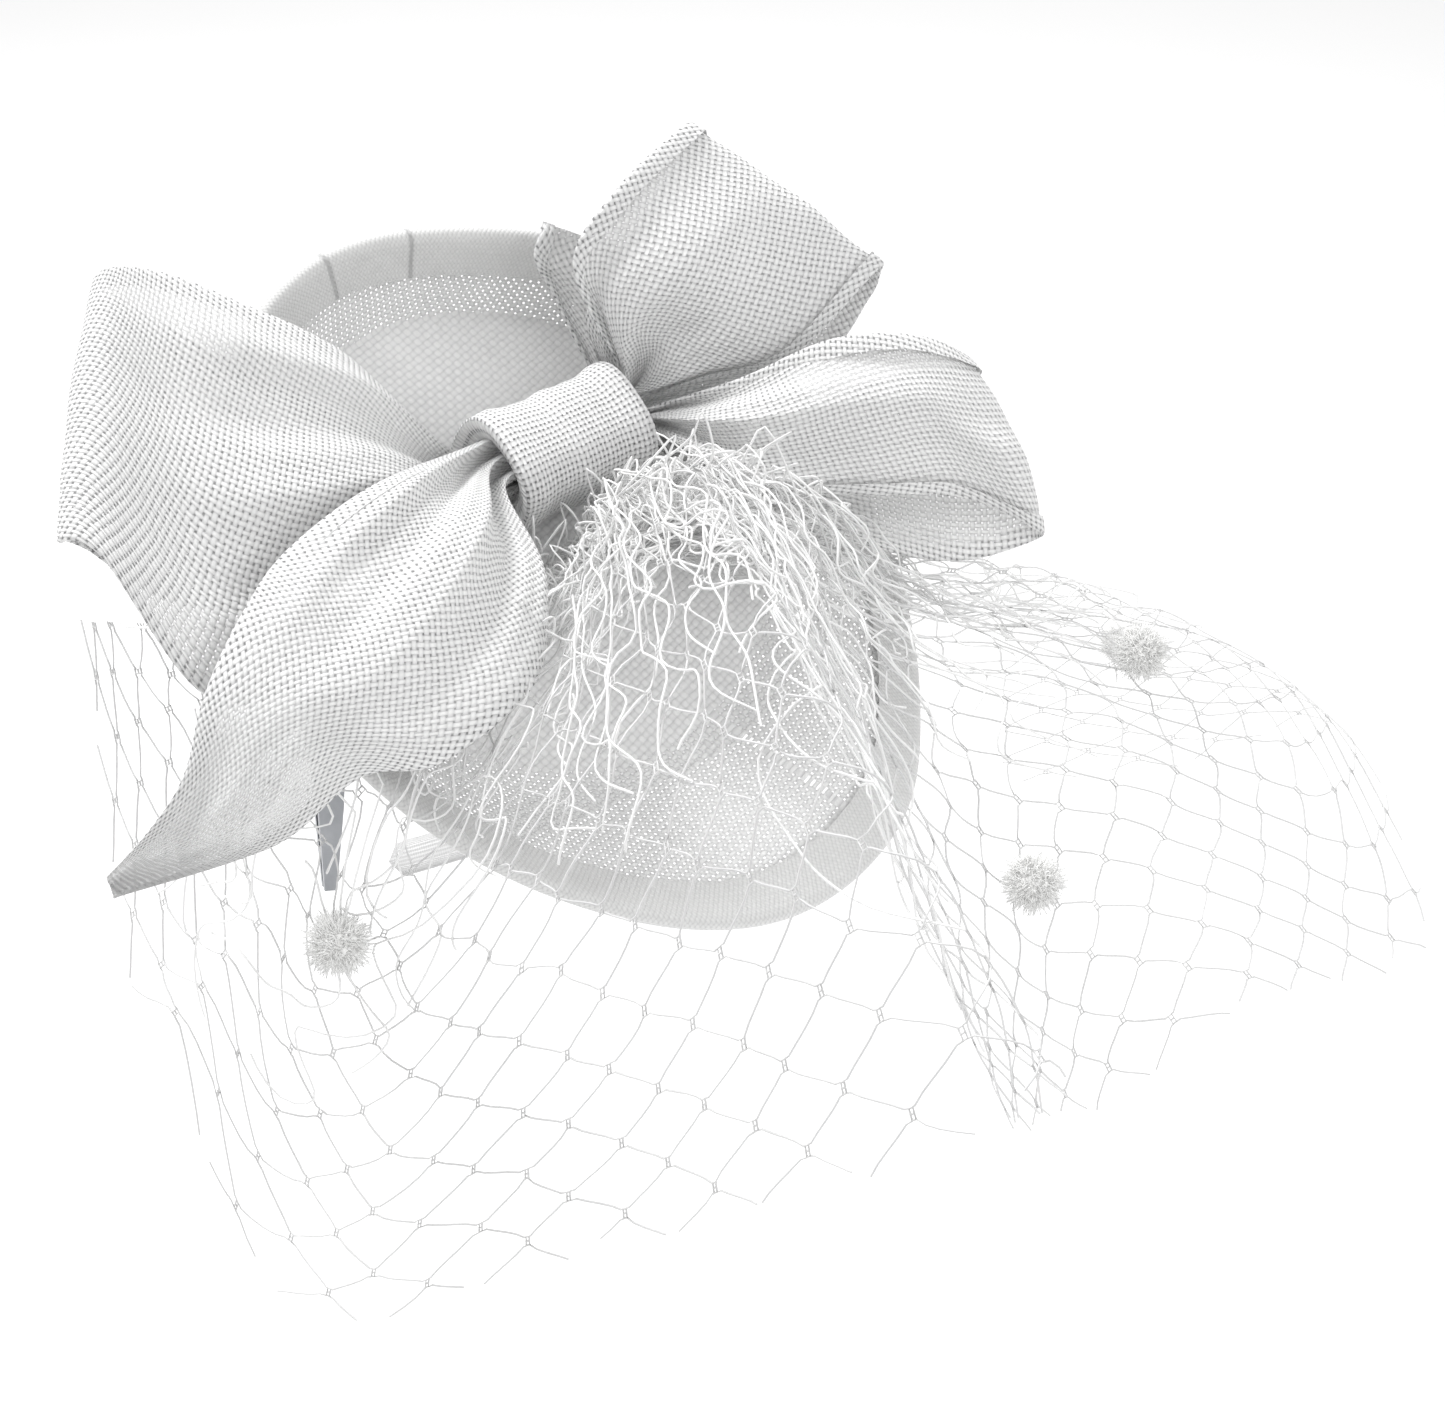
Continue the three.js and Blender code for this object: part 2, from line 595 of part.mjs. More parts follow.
// Coarse net: a lattice of open diamonds whose sides are bars on the veil's surface
function veilNet() {
  const lines = veilLines();
  const shell = new Shell();
  const across = veilColumns * 2;
  const down = veilRows * 2;
  const surface = (i, j) => veilPoint(lines, i / across, j / down);
  const normal = (i, j) => veilNormal(lines, i / across, j / down);
  const pair = (p, n) => [shell.point(p.clone().addScaledVector(n, netWall / 2)),
    shell.point(p.clone().addScaledVector(n, -netWall / 2))];
  const knots = new Map();
  const knotAt = (i, j) => {
    const key = `${i},${j}`;
    if (!knots.has(key)) knots.set(key, pair(surface(i, j), normal(i, j)));
    return knots.get(key);
  };
  const isCell = (i, j) => i > 0 && j > 0 && i < across && j < down && (i + j) % 2 === 1;
  for (let j = 1; j < down; j += 1) {
    for (let i = 1; i < across; i += 1) {
      if (!isCell(i, j)) continue;
      const ends = [[i - 1, j], [i, j + 1], [i + 1, j], [i, j - 1]];
      const corners = ends.map(([a, b]) => surface(a, b));
      const wide = corners[0].distanceTo(corners[2]);
      const tall = corners[1].distanceTo(corners[3]);
      const inset = Math.min(netBar / 2 / (wide * tall / 2 / Math.hypot(wide, tall)), 0.5);
      const middle = corners.reduce((sum, p) => sum.add(p), V(0, 0, 0)).multiplyScalar(0.25);
      const outer = ends.map(([a, b]) => knotAt(a, b));
      const inner = corners.map((p, k) =>
        pair(p.clone().lerp(middle, inset), normal(...ends[k])));
      const beyond = [[i - 1, j + 1], [i + 1, j + 1], [i + 1, j - 1], [i - 1, j - 1]];
      for (let k = 0; k < 4; k += 1) {
        const n = (k + 1) % 4;
        shell.quad(outer[n][0], outer[k][0], inner[k][0], inner[n][0]);
        shell.quad(outer[k][1], outer[n][1], inner[n][1], inner[k][1]);
        shell.quad(inner[n][0], inner[k][0], inner[k][1], inner[n][1]);
        if (!isCell(...beyond[k])) shell.quad(outer[k][0], outer[n][0], outer[n][1], outer[k][1]);
      }
    }
  }
  return shell.geometry();
}

// Chenille dot: a head of short locks, seated on a bar of the net between two of its joins
function veilDot(lines, { from, to, share, radius, side }) {
  const join = ([i, j]) => veilPoint(lines, i / (veilColumns * 2), j / (veilRows * 2));
  const u = (from[0] + (to[0] - from[0]) * share) / (veilColumns * 2);
  const v = (from[1] + (to[1] - from[1]) * share) / (veilRows * 2);
  const out = veilNormal(lines, u, v).multiplyScalar(side);
  const head = new THREE.SphereGeometry(radius, dotLocks * 2, 8);
  const spots = head.attributes.position;
  for (let k = 0; k < spots.count; k += 1) {
    const p = V(spots.getX(k), spots.getY(k), spots.getZ(k));
    const angle = Math.atan2(p.z, p.x);
    const cut = Math.max(0, Math.cos(angle * dotLocks)) * Math.hypot(p.x, p.z) / radius;
    p.multiplyScalar(1 - lockDepth * cut);
    spots.setXYZ(k, p.x, p.y, p.z);
  }
  head.deleteAttribute('uv');
  head.deleteAttribute('normal');
  const merged = mergeVertices(head, 1e-3);
  merged.computeVertexNormals();
  const centre = join(from).lerp(join(to), share).addScaledVector(out, radius + netWall / 2 + gap);
  merged.translate(centre.x, centre.y, centre.z);
  return merged;
}

const dots = [
  { from: [6, 6], to: [5, 7], share: 0.45, radius: dotRadius, side: -1 },
  { from: [17, 7], to: [16, 8], share: 0.5, radius: dotRadius, side: -1 },
  { from: [20, 6], to: [21, 7], share: 0.65, radius: dotRadius, side: -1 },
  { from: [22, 6], to: [23, 7], share: 0.65, radius: smallDotRadius, side: 1 },
];

// Headband: a flat strip bent to a C, its crown under the floor and its legs curling in
function headband() {
  const arcSteps = 18;
  const legSteps = 7;
  const line = [];
  for (let i = 0; i <= arcSteps; i += 1) {
    const angle = rad(-90 + (180 * i) / arcSteps);
    line.push([Math.sin(angle) * bandRadius, Math.cos(angle) * bandRadius]);
  }
  let [side, low] = line[arcSteps];
  for (let i = 1; i <= legSteps; i += 1) {
    const lean = rad(bandCurl * (i - 0.5)) / legSteps;
    side -= Math.sin(lean) * bandLeg / legSteps;
    low -= Math.cos(lean) * bandLeg / legSteps;
    line.push([side, low]);
    line.unshift([-side, low]);
  }
  const grid = line.map(([y, z], i) => {
    const atEnd = i === 0 || i === line.length - 1;
    const half = (bandWidth / 2) * (atEnd ? bandEndShare : 1);
    return [V(half, y, z), V(-half, y, z)];
  });
  const made = sheet(grid, bandWall);
  made.rotateX(rad(bandRoll));
  made.rotateZ(rad(bandTurn));
  made.translate(bandX, bandY, -bandRadius - bandWall / 2 - gap);
  return made;
}

// Clip: both jaws are bent strips in the plane of X (towards the tip) and Z; half is a row's half width
const pinDrop = jawWall / 2 + pinRadius + pinSink;
const jawFall = Math.tan(rad(clipSlope));
const jawRun = jawLength * Math.cos(rad(clipSlope));

function strip(rows) {
  return sheet(rows.map(({ x, z, half }) => [V(x, half, z), V(x, -half, z)]), jawWall);
}

function upperJaw() {
  const slope = (share, lift) => ({ x: jawRun * share, z: -jawRun * share * jawFall + lift });
  const body = strip([
    { x: -tabLength, z: 0, half: jawWidth * 0.3 },
    { x: -tabLength * 0.75, z: 0, half: jawWidth / 2 },
    { x: 0, z: 0, half: jawWidth / 2 },
    { ...slope(0.1, 1.4), half: jawWidth / 2 },
    { ...slope(0.35, 1.6), half: jawWidth * 0.46 },
    { ...slope(0.7, 0.9), half: jawWidth * 0.36 },
    { ...slope(1, 0), half: jawTipWidth / 2 },
  ]);
  const earLength = pinRadius * 4;
  const earHeight = pinDrop + pinRadius * 1.5;
  const earWall = jawWall * earShare;
  const solids = [toSolid(body)];
  [-1, 1].forEach((way) => {
    const ear = new THREE.BoxGeometry(earLength, earWall, earHeight);
    ear.translate(0, way * (jawWidth / 2 - earWall / 2), -earHeight / 2);
    solids.push(toSolid(ear));
  });
  const pin = new THREE.CylinderGeometry(pinRadius, pinRadius, jawWidth - earWall, 12);
  solids.push(toSolid(pin).translate([0, 0, -pinDrop]));
  return fromSolid(solids.reduce((whole, part) => whole.add(part)));
}

function lowerJaw() {
  const under = pinDrop + pinRadius + pinClear + jawWall / 2;
  const waist = jawWidth / 2 - jawWall * earShare - pinClear * 1.5;
  const away = (share, off) => ({
    x: jawRun * share - off * Math.sin(rad(clipSlope)),
    z: -jawRun * share * jawFall - off * Math.cos(rad(clipSlope)),
  });
  return strip([
    { x: -leverLength, z: -under - leverLength * 0.5, half: jawWidth / 2 },
    { x: -leverLength * 0.55, z: -under - leverLength * 0.22, half: jawWidth / 2 },
    { x: -pinRadius * 2.2, z: -under - 0.3, half: waist },
    { x: 0, z: -under, half: waist },
    { x: pinRadius * 2.6, z: -under - 1.2, half: waist },
    { ...away(0.3, 3.2), half: jawWidth * 0.46 },
    { ...away(0.65, 2.6), half: jawWidth * 0.36 },
    { ...away(0.99, 1.5), half: jawTipWidth / 2 },
  ]);
}

const hat = new THREE.Group();
hat.rotation.set(rad(leanForward), rad(leanSide), rad(turn), 'XYZ');

hat.add(node('saucer_base', saucerBase(), straw));
hat.add(node('rim_binding', rimBinding(), straw));
hat.add(node('bow_knot', bowKnot(), straw));
hat.add(node('bow_loop_left', ribbonPiece(leftLoop), straw));
hat.add(node('bow_loop_top', ribbonPiece(topLoop), straw));
hat.add(node('bow_loop_right', ribbonPiece(rightLoop), straw));
hat.add(node('bow_tail_front', ribbonPiece(frontTail), straw));
hat.add(node('bow_tail_back', ribbonPiece(backTail), straw));
hat.add(node('veil_net', veilNet(), thread));
dots.forEach((dot, k) => hat.add(node(`veil_dot_${k + 1}`, veilDot(veilLines(), dot), chenille)));

hat.add(node('headband', headband(), satin));

const clip = new THREE.Group();
clip.position.set(clipX, clipY, -gap - jawWall / 2);
clip.rotation.z = rad(clipHeading);
clip.add(node('hair_clip_upper_jaw', upperJaw(), steel));
clip.add(node('hair_clip_lower_jaw', lowerJaw(), steel));
hat.add(clip);

const group = new THREE.Group();
group.add(hat);
export default group;
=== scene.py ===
# Bow-trimmed straw saucer hat with a dotted birdcage veil
import bpy, json, math
import numpy as np
from mathutils import Matrix, Vector

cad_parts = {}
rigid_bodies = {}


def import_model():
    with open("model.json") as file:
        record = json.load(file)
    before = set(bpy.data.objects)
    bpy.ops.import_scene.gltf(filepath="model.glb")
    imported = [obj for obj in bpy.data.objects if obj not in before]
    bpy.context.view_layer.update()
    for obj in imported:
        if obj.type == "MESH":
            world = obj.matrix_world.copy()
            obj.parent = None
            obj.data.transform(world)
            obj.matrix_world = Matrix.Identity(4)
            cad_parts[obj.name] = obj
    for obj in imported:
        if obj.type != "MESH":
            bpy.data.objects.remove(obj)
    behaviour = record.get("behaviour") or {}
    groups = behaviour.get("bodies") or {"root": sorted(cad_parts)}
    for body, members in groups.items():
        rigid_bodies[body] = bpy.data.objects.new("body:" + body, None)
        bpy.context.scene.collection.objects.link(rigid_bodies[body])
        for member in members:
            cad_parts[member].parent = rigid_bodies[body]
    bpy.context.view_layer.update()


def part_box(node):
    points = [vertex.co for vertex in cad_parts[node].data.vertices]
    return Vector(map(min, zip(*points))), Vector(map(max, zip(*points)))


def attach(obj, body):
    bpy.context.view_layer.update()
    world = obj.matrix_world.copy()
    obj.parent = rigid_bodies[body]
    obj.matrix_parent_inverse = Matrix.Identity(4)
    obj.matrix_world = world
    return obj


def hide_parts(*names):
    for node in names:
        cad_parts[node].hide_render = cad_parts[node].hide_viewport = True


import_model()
hatBody = "hat"
scene = bpy.context.scene

# camera: the photograph's own angle and distance
cameraLook = {"spot": (0.04307, -0.3723, 0.2185), "pitch": 55.0, "lens": 53.36, "sensor": 36.0}
cameraData = bpy.data.cameras.new("camera")
cameraData.lens = cameraLook["lens"]
cameraData.sensor_width = cameraLook["sensor"]
camera = bpy.data.objects.new("camera", cameraData)
camera.location = cameraLook["spot"]
camera.rotation_euler = (math.radians(cameraLook["pitch"]), 0, 0)
scene.collection.objects.link(camera)
scene.camera = camera
print("camera ready")

# the hat's own axes: pieces are drawn flat in mm, then tilted as worn
hatTilt = {"forward": 29.8, "side": 22.0, "turn": -38.5}
hatTurn = np.array(Matrix.Rotation(math.radians(hatTilt["forward"]), 3, "X")
                   @ Matrix.Rotation(math.radians(hatTilt["side"]), 3, "Y")
                   @ Matrix.Rotation(math.radians(hatTilt["turn"]), 3, "Z"))


def toWorld(points):
    return np.asarray(points, float) @ hatTurn.T * 0.001


def splineAt(points, t, closed=False):
    # smooth curve through the points, t runs 0 to 1
    p = np.asarray(points, float)
    t = np.clip(np.asarray(t, float), 0, 1)
    count = len(p) if closed else len(p) - 1
    place = t * count
    i = np.minimum(np.floor(place).astype(int), count - 1)
    f = (place - i).reshape(t.shape + (1,) * (p.ndim - 1))
    pick = (lambda k: p[k % len(p)]) if closed else (lambda k: p[np.clip(k, 0, len(p) - 1)])
    a, b, c, d = pick(i - 1), pick(i), pick(i + 1), pick(i + 2)
    return 0.5 * (2 * b + (c - a) * f + (2 * a - 5 * b + 4 * c - d) * f * f
                  + (3 * b - a - 3 * c + d) * f ** 3)


def gridNormals(grid, wrap=False):
    along = (np.roll(grid, -1, 0) - np.roll(grid, 1, 0)) if wrap else np.gradient(grid, axis=0)
    across = np.gradient(grid, axis=1)
    n = np.cross(along, across)
    return n / np.maximum(np.linalg.norm(n, axis=2, keepdims=True), 1e-9)


def sheetPiece(name, grid, uv, material, wrap=False, flip=False, extra=None):
    # one open surface on a grid of points in mm, with its UV in mm
    rows, columns = grid.shape[:2]
    verts = toWorld(grid.reshape(-1, 3))
    spans = rows if wrap else rows - 1
    i, j = np.meshgrid(np.arange(spans), np.arange(columns - 1), indexing="ij")
    n = (i + 1) % rows
    faces = np.stack([i * columns + j, n * columns + j, n * columns + j + 1, i * columns + j + 1], -1)
    faces = faces.reshape(-1, 4)
    place = np.stack([np.stack([i, j], -1), np.stack([i + 1, j], -1),
                      np.stack([i + 1, j + 1], -1), np.stack([i, j + 1], -1)], 2).reshape(-1, 4, 2)
    if flip:
        faces, place = faces[:, ::-1], place[:, ::-1]
    mesh = bpy.data.meshes.new(name)
    mesh.from_pydata(verts.tolist(), [], faces.tolist())
    if wrap:
        uv = np.concatenate([uv, uv[:1] + (uv[-1:] - uv[:1]) * rows / (rows - 1)], 0)
    layer = mesh.uv_layers.new(name="cloth")
    layer.data.foreach_set("uv", uv[place[..., 0], place[..., 1]].reshape(-1))
    for key, values in (extra or {}).items():
        spot = mesh.attributes.new(key, "FLOAT", "POINT")
        spot.data.foreach_set("value", values.reshape(-1))
    mesh.polygons.foreach_set("use_smooth", [True] * len(mesh.polygons))
    mesh.materials.append(material)
    piece = bpy.data.objects.new(name, mesh)
    scene.collection.objects.link(piece)
    return piece


def sheetArea(grid, wrap=False):
    g = np.concatenate([grid, grid[:1]], 0) if wrap else grid
    a, b, c, d = g[:-1, :-1], g[1:, :-1], g[1:, 1:], g[:-1, 1:]
    one = np.linalg.norm(np.cross(b - a, c - a), axis=2).sum()
    two = np.linalg.norm(np.cross(c - a, d - a), axis=2).sum()
    return (one + two) / 2 * 1e-6


def arcLength(points, axis=0):
    steps = np.linalg.norm(np.diff(points, axis=axis), axis=-1)
    zero = np.zeros_like(np.take(steps, [0], axis=axis))
    return np.concatenate([zero, np.cumsum(steps, axis=axis)], axis=axis)


def squareOff(value, power):
    # pushes a circle's sine or cosine towards a rounded square
    return np.sign(value) * np.abs(value) ** power


def smoothNoise(x, y, seed, cells=64):
    # soft random field from a seeded lattice, about -1 to 1
    lattice = np.random.default_rng(seed).uniform(-1, 1, (cells, cells))
    i, j = np.floor(x).astype(int), np.floor(y).astype(int)
    f, g = x - i, y - j
    f, g = f * f * (3 - 2 * f), g * g * (3 - 2 * g)
    at = lambda a, b: lattice[a % cells, b % cells]
    return ((at(i, j) * (1 - f) + at(i + 1, j) * f) * (1 - g)
            + (at(i, j + 1) * (1 - f) + at(i + 1, j + 1) * f) * g)


class Wire:
    # a shader socket that takes part in plain arithmetic
    def __init__(self, tree, socket):
        self.tree, self.socket = tree, socket

    def math(self, operation, *others, swap=False):
        node = self.tree.nodes.new("ShaderNodeMath")
        node.operation = operation
        values = [self, *others]
        if swap:
            values.reverse()
        for slot, value in zip(node.inputs, values):
            if isinstance(value, Wire):
                self.tree.links.new(value.socket, slot)
            else:
                slot.default_value = value
        return Wire(self.tree, node.outputs[0])

    def __add__(self, other):
        return self.math("ADD", other)

    def __radd__(self, other):
        return self.math("ADD", other)

    def __sub__(self, other):
        return self.math("SUBTRACT", other)

    def __rsub__(self, other):
        return self.math("SUBTRACT", other, swap=True)

    def __mul__(self, other):
        return self.math("MULTIPLY", other)

    def __rmul__(self, other):
        return self.math("MULTIPLY", other)

    def __truediv__(self, other):
        return self.math("DIVIDE", other)

    def __lt__(self, other):
        return self.math("LESS_THAN", other)

    def __gt__(self, other):
        return self.math("GREATER_THAN", other)


class Finish:
    # a material being built: base shader, and one method for every other node
    def __init__(self, name, constants):
        self.material = bpy.data.materials.new(name)
        self.material.use_nodes = True
        self.tree = self.material.node_tree
        self.shader = self.tree.nodes["Principled BSDF"]
        for key, value in constants.items():
            self.shader.inputs[key].default_value = value

    def node(self, kind, settings=None, **sockets):
        made = self.tree.nodes.new("ShaderNode" + kind)
        for key, value in (settings or {}).items():
            setattr(made, key, value)
        for key, value in sockets.items():
            slot = made.inputs[int(key[1:])] if key[0] == "n" and key[1:].isdigit() else made.inputs[key]
            self.feed(slot, value)
        return made

    def feed(self, slot, value):
        if isinstance(value, Wire):
            self.tree.links.new(value.socket, slot)
        elif hasattr(value, "is_output"):
            self.tree.links.new(value, slot)
        else:
            slot.default_value = value

    def wire(self, socket):
        return Wire(self.tree, socket)

    def place(self, source="UV"):
        return self.node("TexCoord").outputs[source]

    def split(self, vector):
        made = self.node("SeparateXYZ", n0=vector)
        return [self.wire(s) for s in made.outputs]

    def noise(self, vector, scale, detail=2.0, rough=0.5):
        made = self.node("TexNoise", Vector=vector, Scale=scale, Detail=detail, Roughness=rough)
        return self.wire(made.outputs[0])

    def shade(self, factor, dark, light):
        made = self.node("Mix", {"data_type": "RGBA"}, n0=factor, n6=(*dark, 1), n7=(*light, 1))
        return made.outputs[2]

    def bump(self, height, distance, strength=1.0):
        made = self.node("Bump", Height=height, Distance=distance, Strength=strength)
        self.feed(self.shader.inputs["Normal"], made.outputs[0])

    def set(self, key, value):
        self.feed(self.shader.inputs[key], value)


# plain weave of round straws, drawn on a UV in mm: hole is the share of a pitch left open
def wovenStraw(name, look):
    f = Finish(name, {"Roughness": look["rough"], "Sheen Weight": 0.25, "Sheen Roughness": 0.5,
                      "Specular IOR Level": 0.35})
    uvSpot = f.place()
    bend = f.node("Mapping", Vector=uvSpot, Scale=(0.05, 0.05, 1)).outputs[0]
    sway = f.node("TexNoise", Vector=bend, Scale=1.3, Detail=2.0).outputs[1]
    swayX, swayY, _ = f.split(sway)
    x, y, _ = f.split(uvSpot)
    u = x * (1 / look["pitchU"]) + (swayX - 0.5) * look["sway"]
    v = y * (1 / look["pitchV"]) + (swayY - 0.5) * look["sway"]
    iu, iv = u.math("FLOOR"), v.math("FLOOR")
    fu, fv = (u - iu) - 0.5, (v - iv) - 0.5
    signU = 1 - (iu.math("FLOORED_MODULO", 2.0) * 2)
    signV = 1 - (iv.math("FLOORED_MODULO", 2.0) * 2)
    # every straw is a little thicker or thinner than the next
    strandU = f.wire(f.node("TexWhiteNoise", {"noise_dimensions": "1D"}, W=iu).outputs[0])
    strandV = f.wire(f.node("TexWhiteNoise", {"noise_dimensions": "1D"}, W=iv + 71.3).outputs[0])
    halfU = 0.5 - look["holeU"] * (0.7 + strandU * 0.6)
    halfV = 0.5 - look["holeV"] * (0.7 + strandV * 0.6)
    if look.get("openBy"):
        closed = f.wire(f.node("Attribute", {"attribute_name": look["openBy"]}).outputs["Fac"])
        halfU = halfU + (0.5 - halfU) * (1 - closed) * 1.05
        halfV = halfV + (0.5 - halfV) * (1 - closed) * 1.05
    acrossU, acrossV = fu.math("ABSOLUTE") / halfU, fv.math("ABSOLUTE") / halfV
    roundU = (1 - acrossU * acrossU).math("MAXIMUM", 0.0).math("SQRT")
    roundV = (1 - acrossV * acrossV).math("MAXIMUM", 0.0).math("SQRT")
    waveU = (v * math.pi - math.pi / 2).math("COSINE") * signU
    waveV = (u * math.pi - math.pi / 2).math("COSINE") * signV * -1
    onU, onV = acrossU < 1.0, acrossV < 1.0
    heightU = (roundU * 0.5 + waveU * 0.42 + 0.62) * onU
    heightV = (roundV * 0.45 + waveV * 0.34 + 0.5) * onV
    height = heightU.math("MAXIMUM", heightV)
    covered = onU.math("MAXIMUM", onV)
    fine = f.noise(f.node("Mapping", Vector=uvSpot, Scale=(9, 9, 1)).outputs[0], 1.0, 3.0)
    cloud = f.noise(f.place("Object"), 38.0, 3.0)
    # colour: the low parts of the weave, the open gaps and each strand where it runs under the other, take
    # the dark colour as painted shade; the noise terms vary the tone at random
    paintedShadeAndTone = height * 0.72 + (fine - 0.5) * 0.25 + (cloud - 0.5) * 0.3 + (strandU + strandV - 1) * 0.06
    if look.get("seamBy"):
        seam = f.wire(f.node("Attribute", {"attribute_name": look["seamBy"]}).outputs["Fac"])
        # along each seam the colour is darkened as painted shade of the lap, and the bump is sunk
        paintedShadeAndTone = paintedShadeAndTone - seam * 1.2
        height = height - seam * 2
    f.set("Base Color", f.shade(paintedShadeAndTone, look["dark"], look["light"]))
    f.set("Roughness", 1 - (1 - look["rough"]) * (0.7 + fine * 0.5))
    f.bump(height + (fine - 0.5) * 0.2, look["relief"])
    if look["holeU"] > 0.05:
        f.set("Alpha", covered * (1 - look["fill"]) + look["fill"])
    return f.material


# pitch in mm, sway in pitches, fill is how far fine fibres close a gap
# dark is the colour of the weave's painted shade in its gaps and under-running strands, light that of the
# strands' tops
strawLook = {"pitchU": 1.34, "pitchV": 1.24, "holeU": 0.18, "holeV": 0.13, "fill": 0.38, "sway": 0.9,
             "rough": 0.62, "relief": 0.0004, "dark": (0.46, 0.46, 0.47), "light": (0.93, 0.93, 0.925)}
strawCloth = wovenStraw("open straw cloth", strawLook)
# the dish cloth's colours are set lighter than the bow's straw, as painted light over the shade the bow
# casts on the dish floor
dishCloth = wovenStraw("blocked dish cloth", {**strawLook, "pitchU": 1.45, "pitchV": 1.45, "holeU": 0.2,
                       "holeV": 0.2, "fill": 0, "openBy": "openness", "relief": 0.0003, "sway": 0.6,
                       "dark": (0.51, 0.51, 0.52), "light": (0.96, 0.96, 0.955)})
# the rim ribbon is white like the dish, but its colours are set grey as painted shade on the binding
bindingCloth = wovenStraw("rim ribbon", {**strawLook, "pitchU": 0.72, "pitchV": 0.72, "holeU": 0.02,
                          "holeV": 0.02, "seamBy": "seam", "relief": 0.00015,
                          "dark": (0.5, 0.5, 0.5), "light": (0.76, 0.76, 0.755)})


def netThreadFinish(name, dark, light):
    f = Finish(name, {"Roughness": 0.42, "Specular IOR Level": 0.4})
    spot = f.place("Object")
    twist = f.noise(spot, 900.0, 2.0)
    cloud = f.noise(spot, 30.0, 2.0)
    f.set("Base Color", f.shade(twist * 0.35 + cloud * 0.65, dark, light))
    f.set("Roughness", 0.34 + twist * 0.2)
    f.bump(twist, 0.0001, 0.5)
    return f.material


def chenilleFinish():
    # the pile is given a faint white glow as painted light, lifting the shade between its fibres
    f = Finish("chenille pile", {"Roughness": 0.9, "Sheen Weight": 0.5, "Specular IOR Level": 0.2,
                                 "Emission Color": (1, 1, 1, 1), "Emission Strength": 0.1})
    spot = f.place("Object")
    fleck = f.noise(spot, 500.0, 2.0)
    f.set("Base Color", f.shade(fleck, (0.84, 0.84, 0.83), (0.98, 0.98, 0.97)))
    f.bump(fleck, 0.0003, 0.6)
    return f.material


def satinFinish():
    f = Finish("satin band", {"Roughness": 0.34, "Specular IOR Level": 0.6, "Sheen Weight": 0.2})
    x, y, _ = f.split(f.place())
    ribs = (x * (2 * math.pi / 0.45)).math("SINE") * 0.5 + 0.5
    cross = (y * (2 * math.pi / 0.6)).math("SINE") * 0.5 + 0.5
    cloud = f.noise(f.place("Object"), 60.0, 3.0)
    f.set("Base Color", f.shade(cloud * 0.7 + ribs * 0.3, (0.50, 0.50, 0.505), (0.66, 0.66, 0.655)))
    f.set("Roughness", 0.26 + cloud * 0.22)
    f.bump(ribs * 0.7 + cross * 0.3 + cloud * 2.0, 0.00012, 0.7)
    return f.material


def steelFinish(node):
    f = Finish(node + " plated steel", {"Metallic": 1.0, "Roughness": 0.3})
    spot = f.place("Object")
    drawn = f.noise(f.node("Mapping", Vector=spot, Scale=(1, 6, 1)).outputs[0], 260.0, 3.0)
    worn = f.noise(spot, 120.0, 4.0, 0.65)
    f.set("Base Color", f.shade(worn, (0.26, 0.27, 0.29), (0.52, 0.53, 0.55)))
    f.set("Roughness", 0.2 + drawn * 0.18 + worn * 0.14)
    f.bump(drawn + worn * 0.6, 0.00006, 0.6)
    return f.material


# the veil's white thread is coloured grey as painted shade; the gathered underlay gets a lighter copy of it
# as painted light in the gather
veilThread = netThreadFinish("veil thread", (0.62, 0.62, 0.625), (0.80, 0.80, 0.795))
gatherThread = netThreadFinish("gathered thread", (0.82, 0.82, 0.82), (0.96, 0.96, 0.955))
chenillePile, satinBand = chenilleFinish(), satinFinish()
print("finishes ready")

# saucer: floor and wall as one blocked sheet; the lists are shares, round the rim and up the wall
saucer = {"wall": 1.6, "floorRadius": 50, "floorShift": 4, "halfLength": 80, "halfWidth": 67,
          "shift": 18, "height": 22, "centreHole": 0.02, "buckle": 0.25, "openFrom": 0.12, "openOver": 0.1,
          "openness": 0.85, "blankSide": 1.13}
rimReach = [0.95, 0.94, 0.97, 0.99, 0.99, 0.95, 0.98, 1.00, 1.00, 1.00, 0.99, 0.99]
rimHeight = [0.80, 0.45, 0.45, 0.75, 0.92, 1.00, 1.06, 1.00, 0.90, 0.86, 0.86, 0.86]
wallOut = [0, 0.10, 0.24, 0.45, 0.72, 1]
wallUp = [0, 0.03, 0.16, 0.42, 0.72, 1]


def rimAt(share):
    angle = np.asarray(share) * 2 * math.pi
    reach = splineAt(rimReach, np.asarray(share) % 1, True)
    height = splineAt(rimHeight, np.asarray(share) % 1, True) * saucer["height"]
    return np.stack([saucer["shift"] + saucer["halfLength"] * reach * np.cos(angle),
                     saucer["halfWidth"] * reach * np.sin(angle), height], -1)


def footAt(share, part=1.0):
    angle = np.asarray(share) * 2 * math.pi
    r = saucer["floorRadius"] * part
    return np.stack([r * np.cos(angle), saucer["floorShift"] + r * np.sin(angle),
                     np.full(np.shape(angle), saucer["wall"] / 2)], -1)


def wallAt(share, t):
    foot, rim = footAt(share), rimAt(share)
    out, up = splineAt(wallOut, t), splineAt(wallUp, t)
    flat = foot + (rim - foot) * out[..., None]
    flat[..., 2] = foot[..., 2] + (rim[..., 2] - foot[..., 2]) * up
    return flat


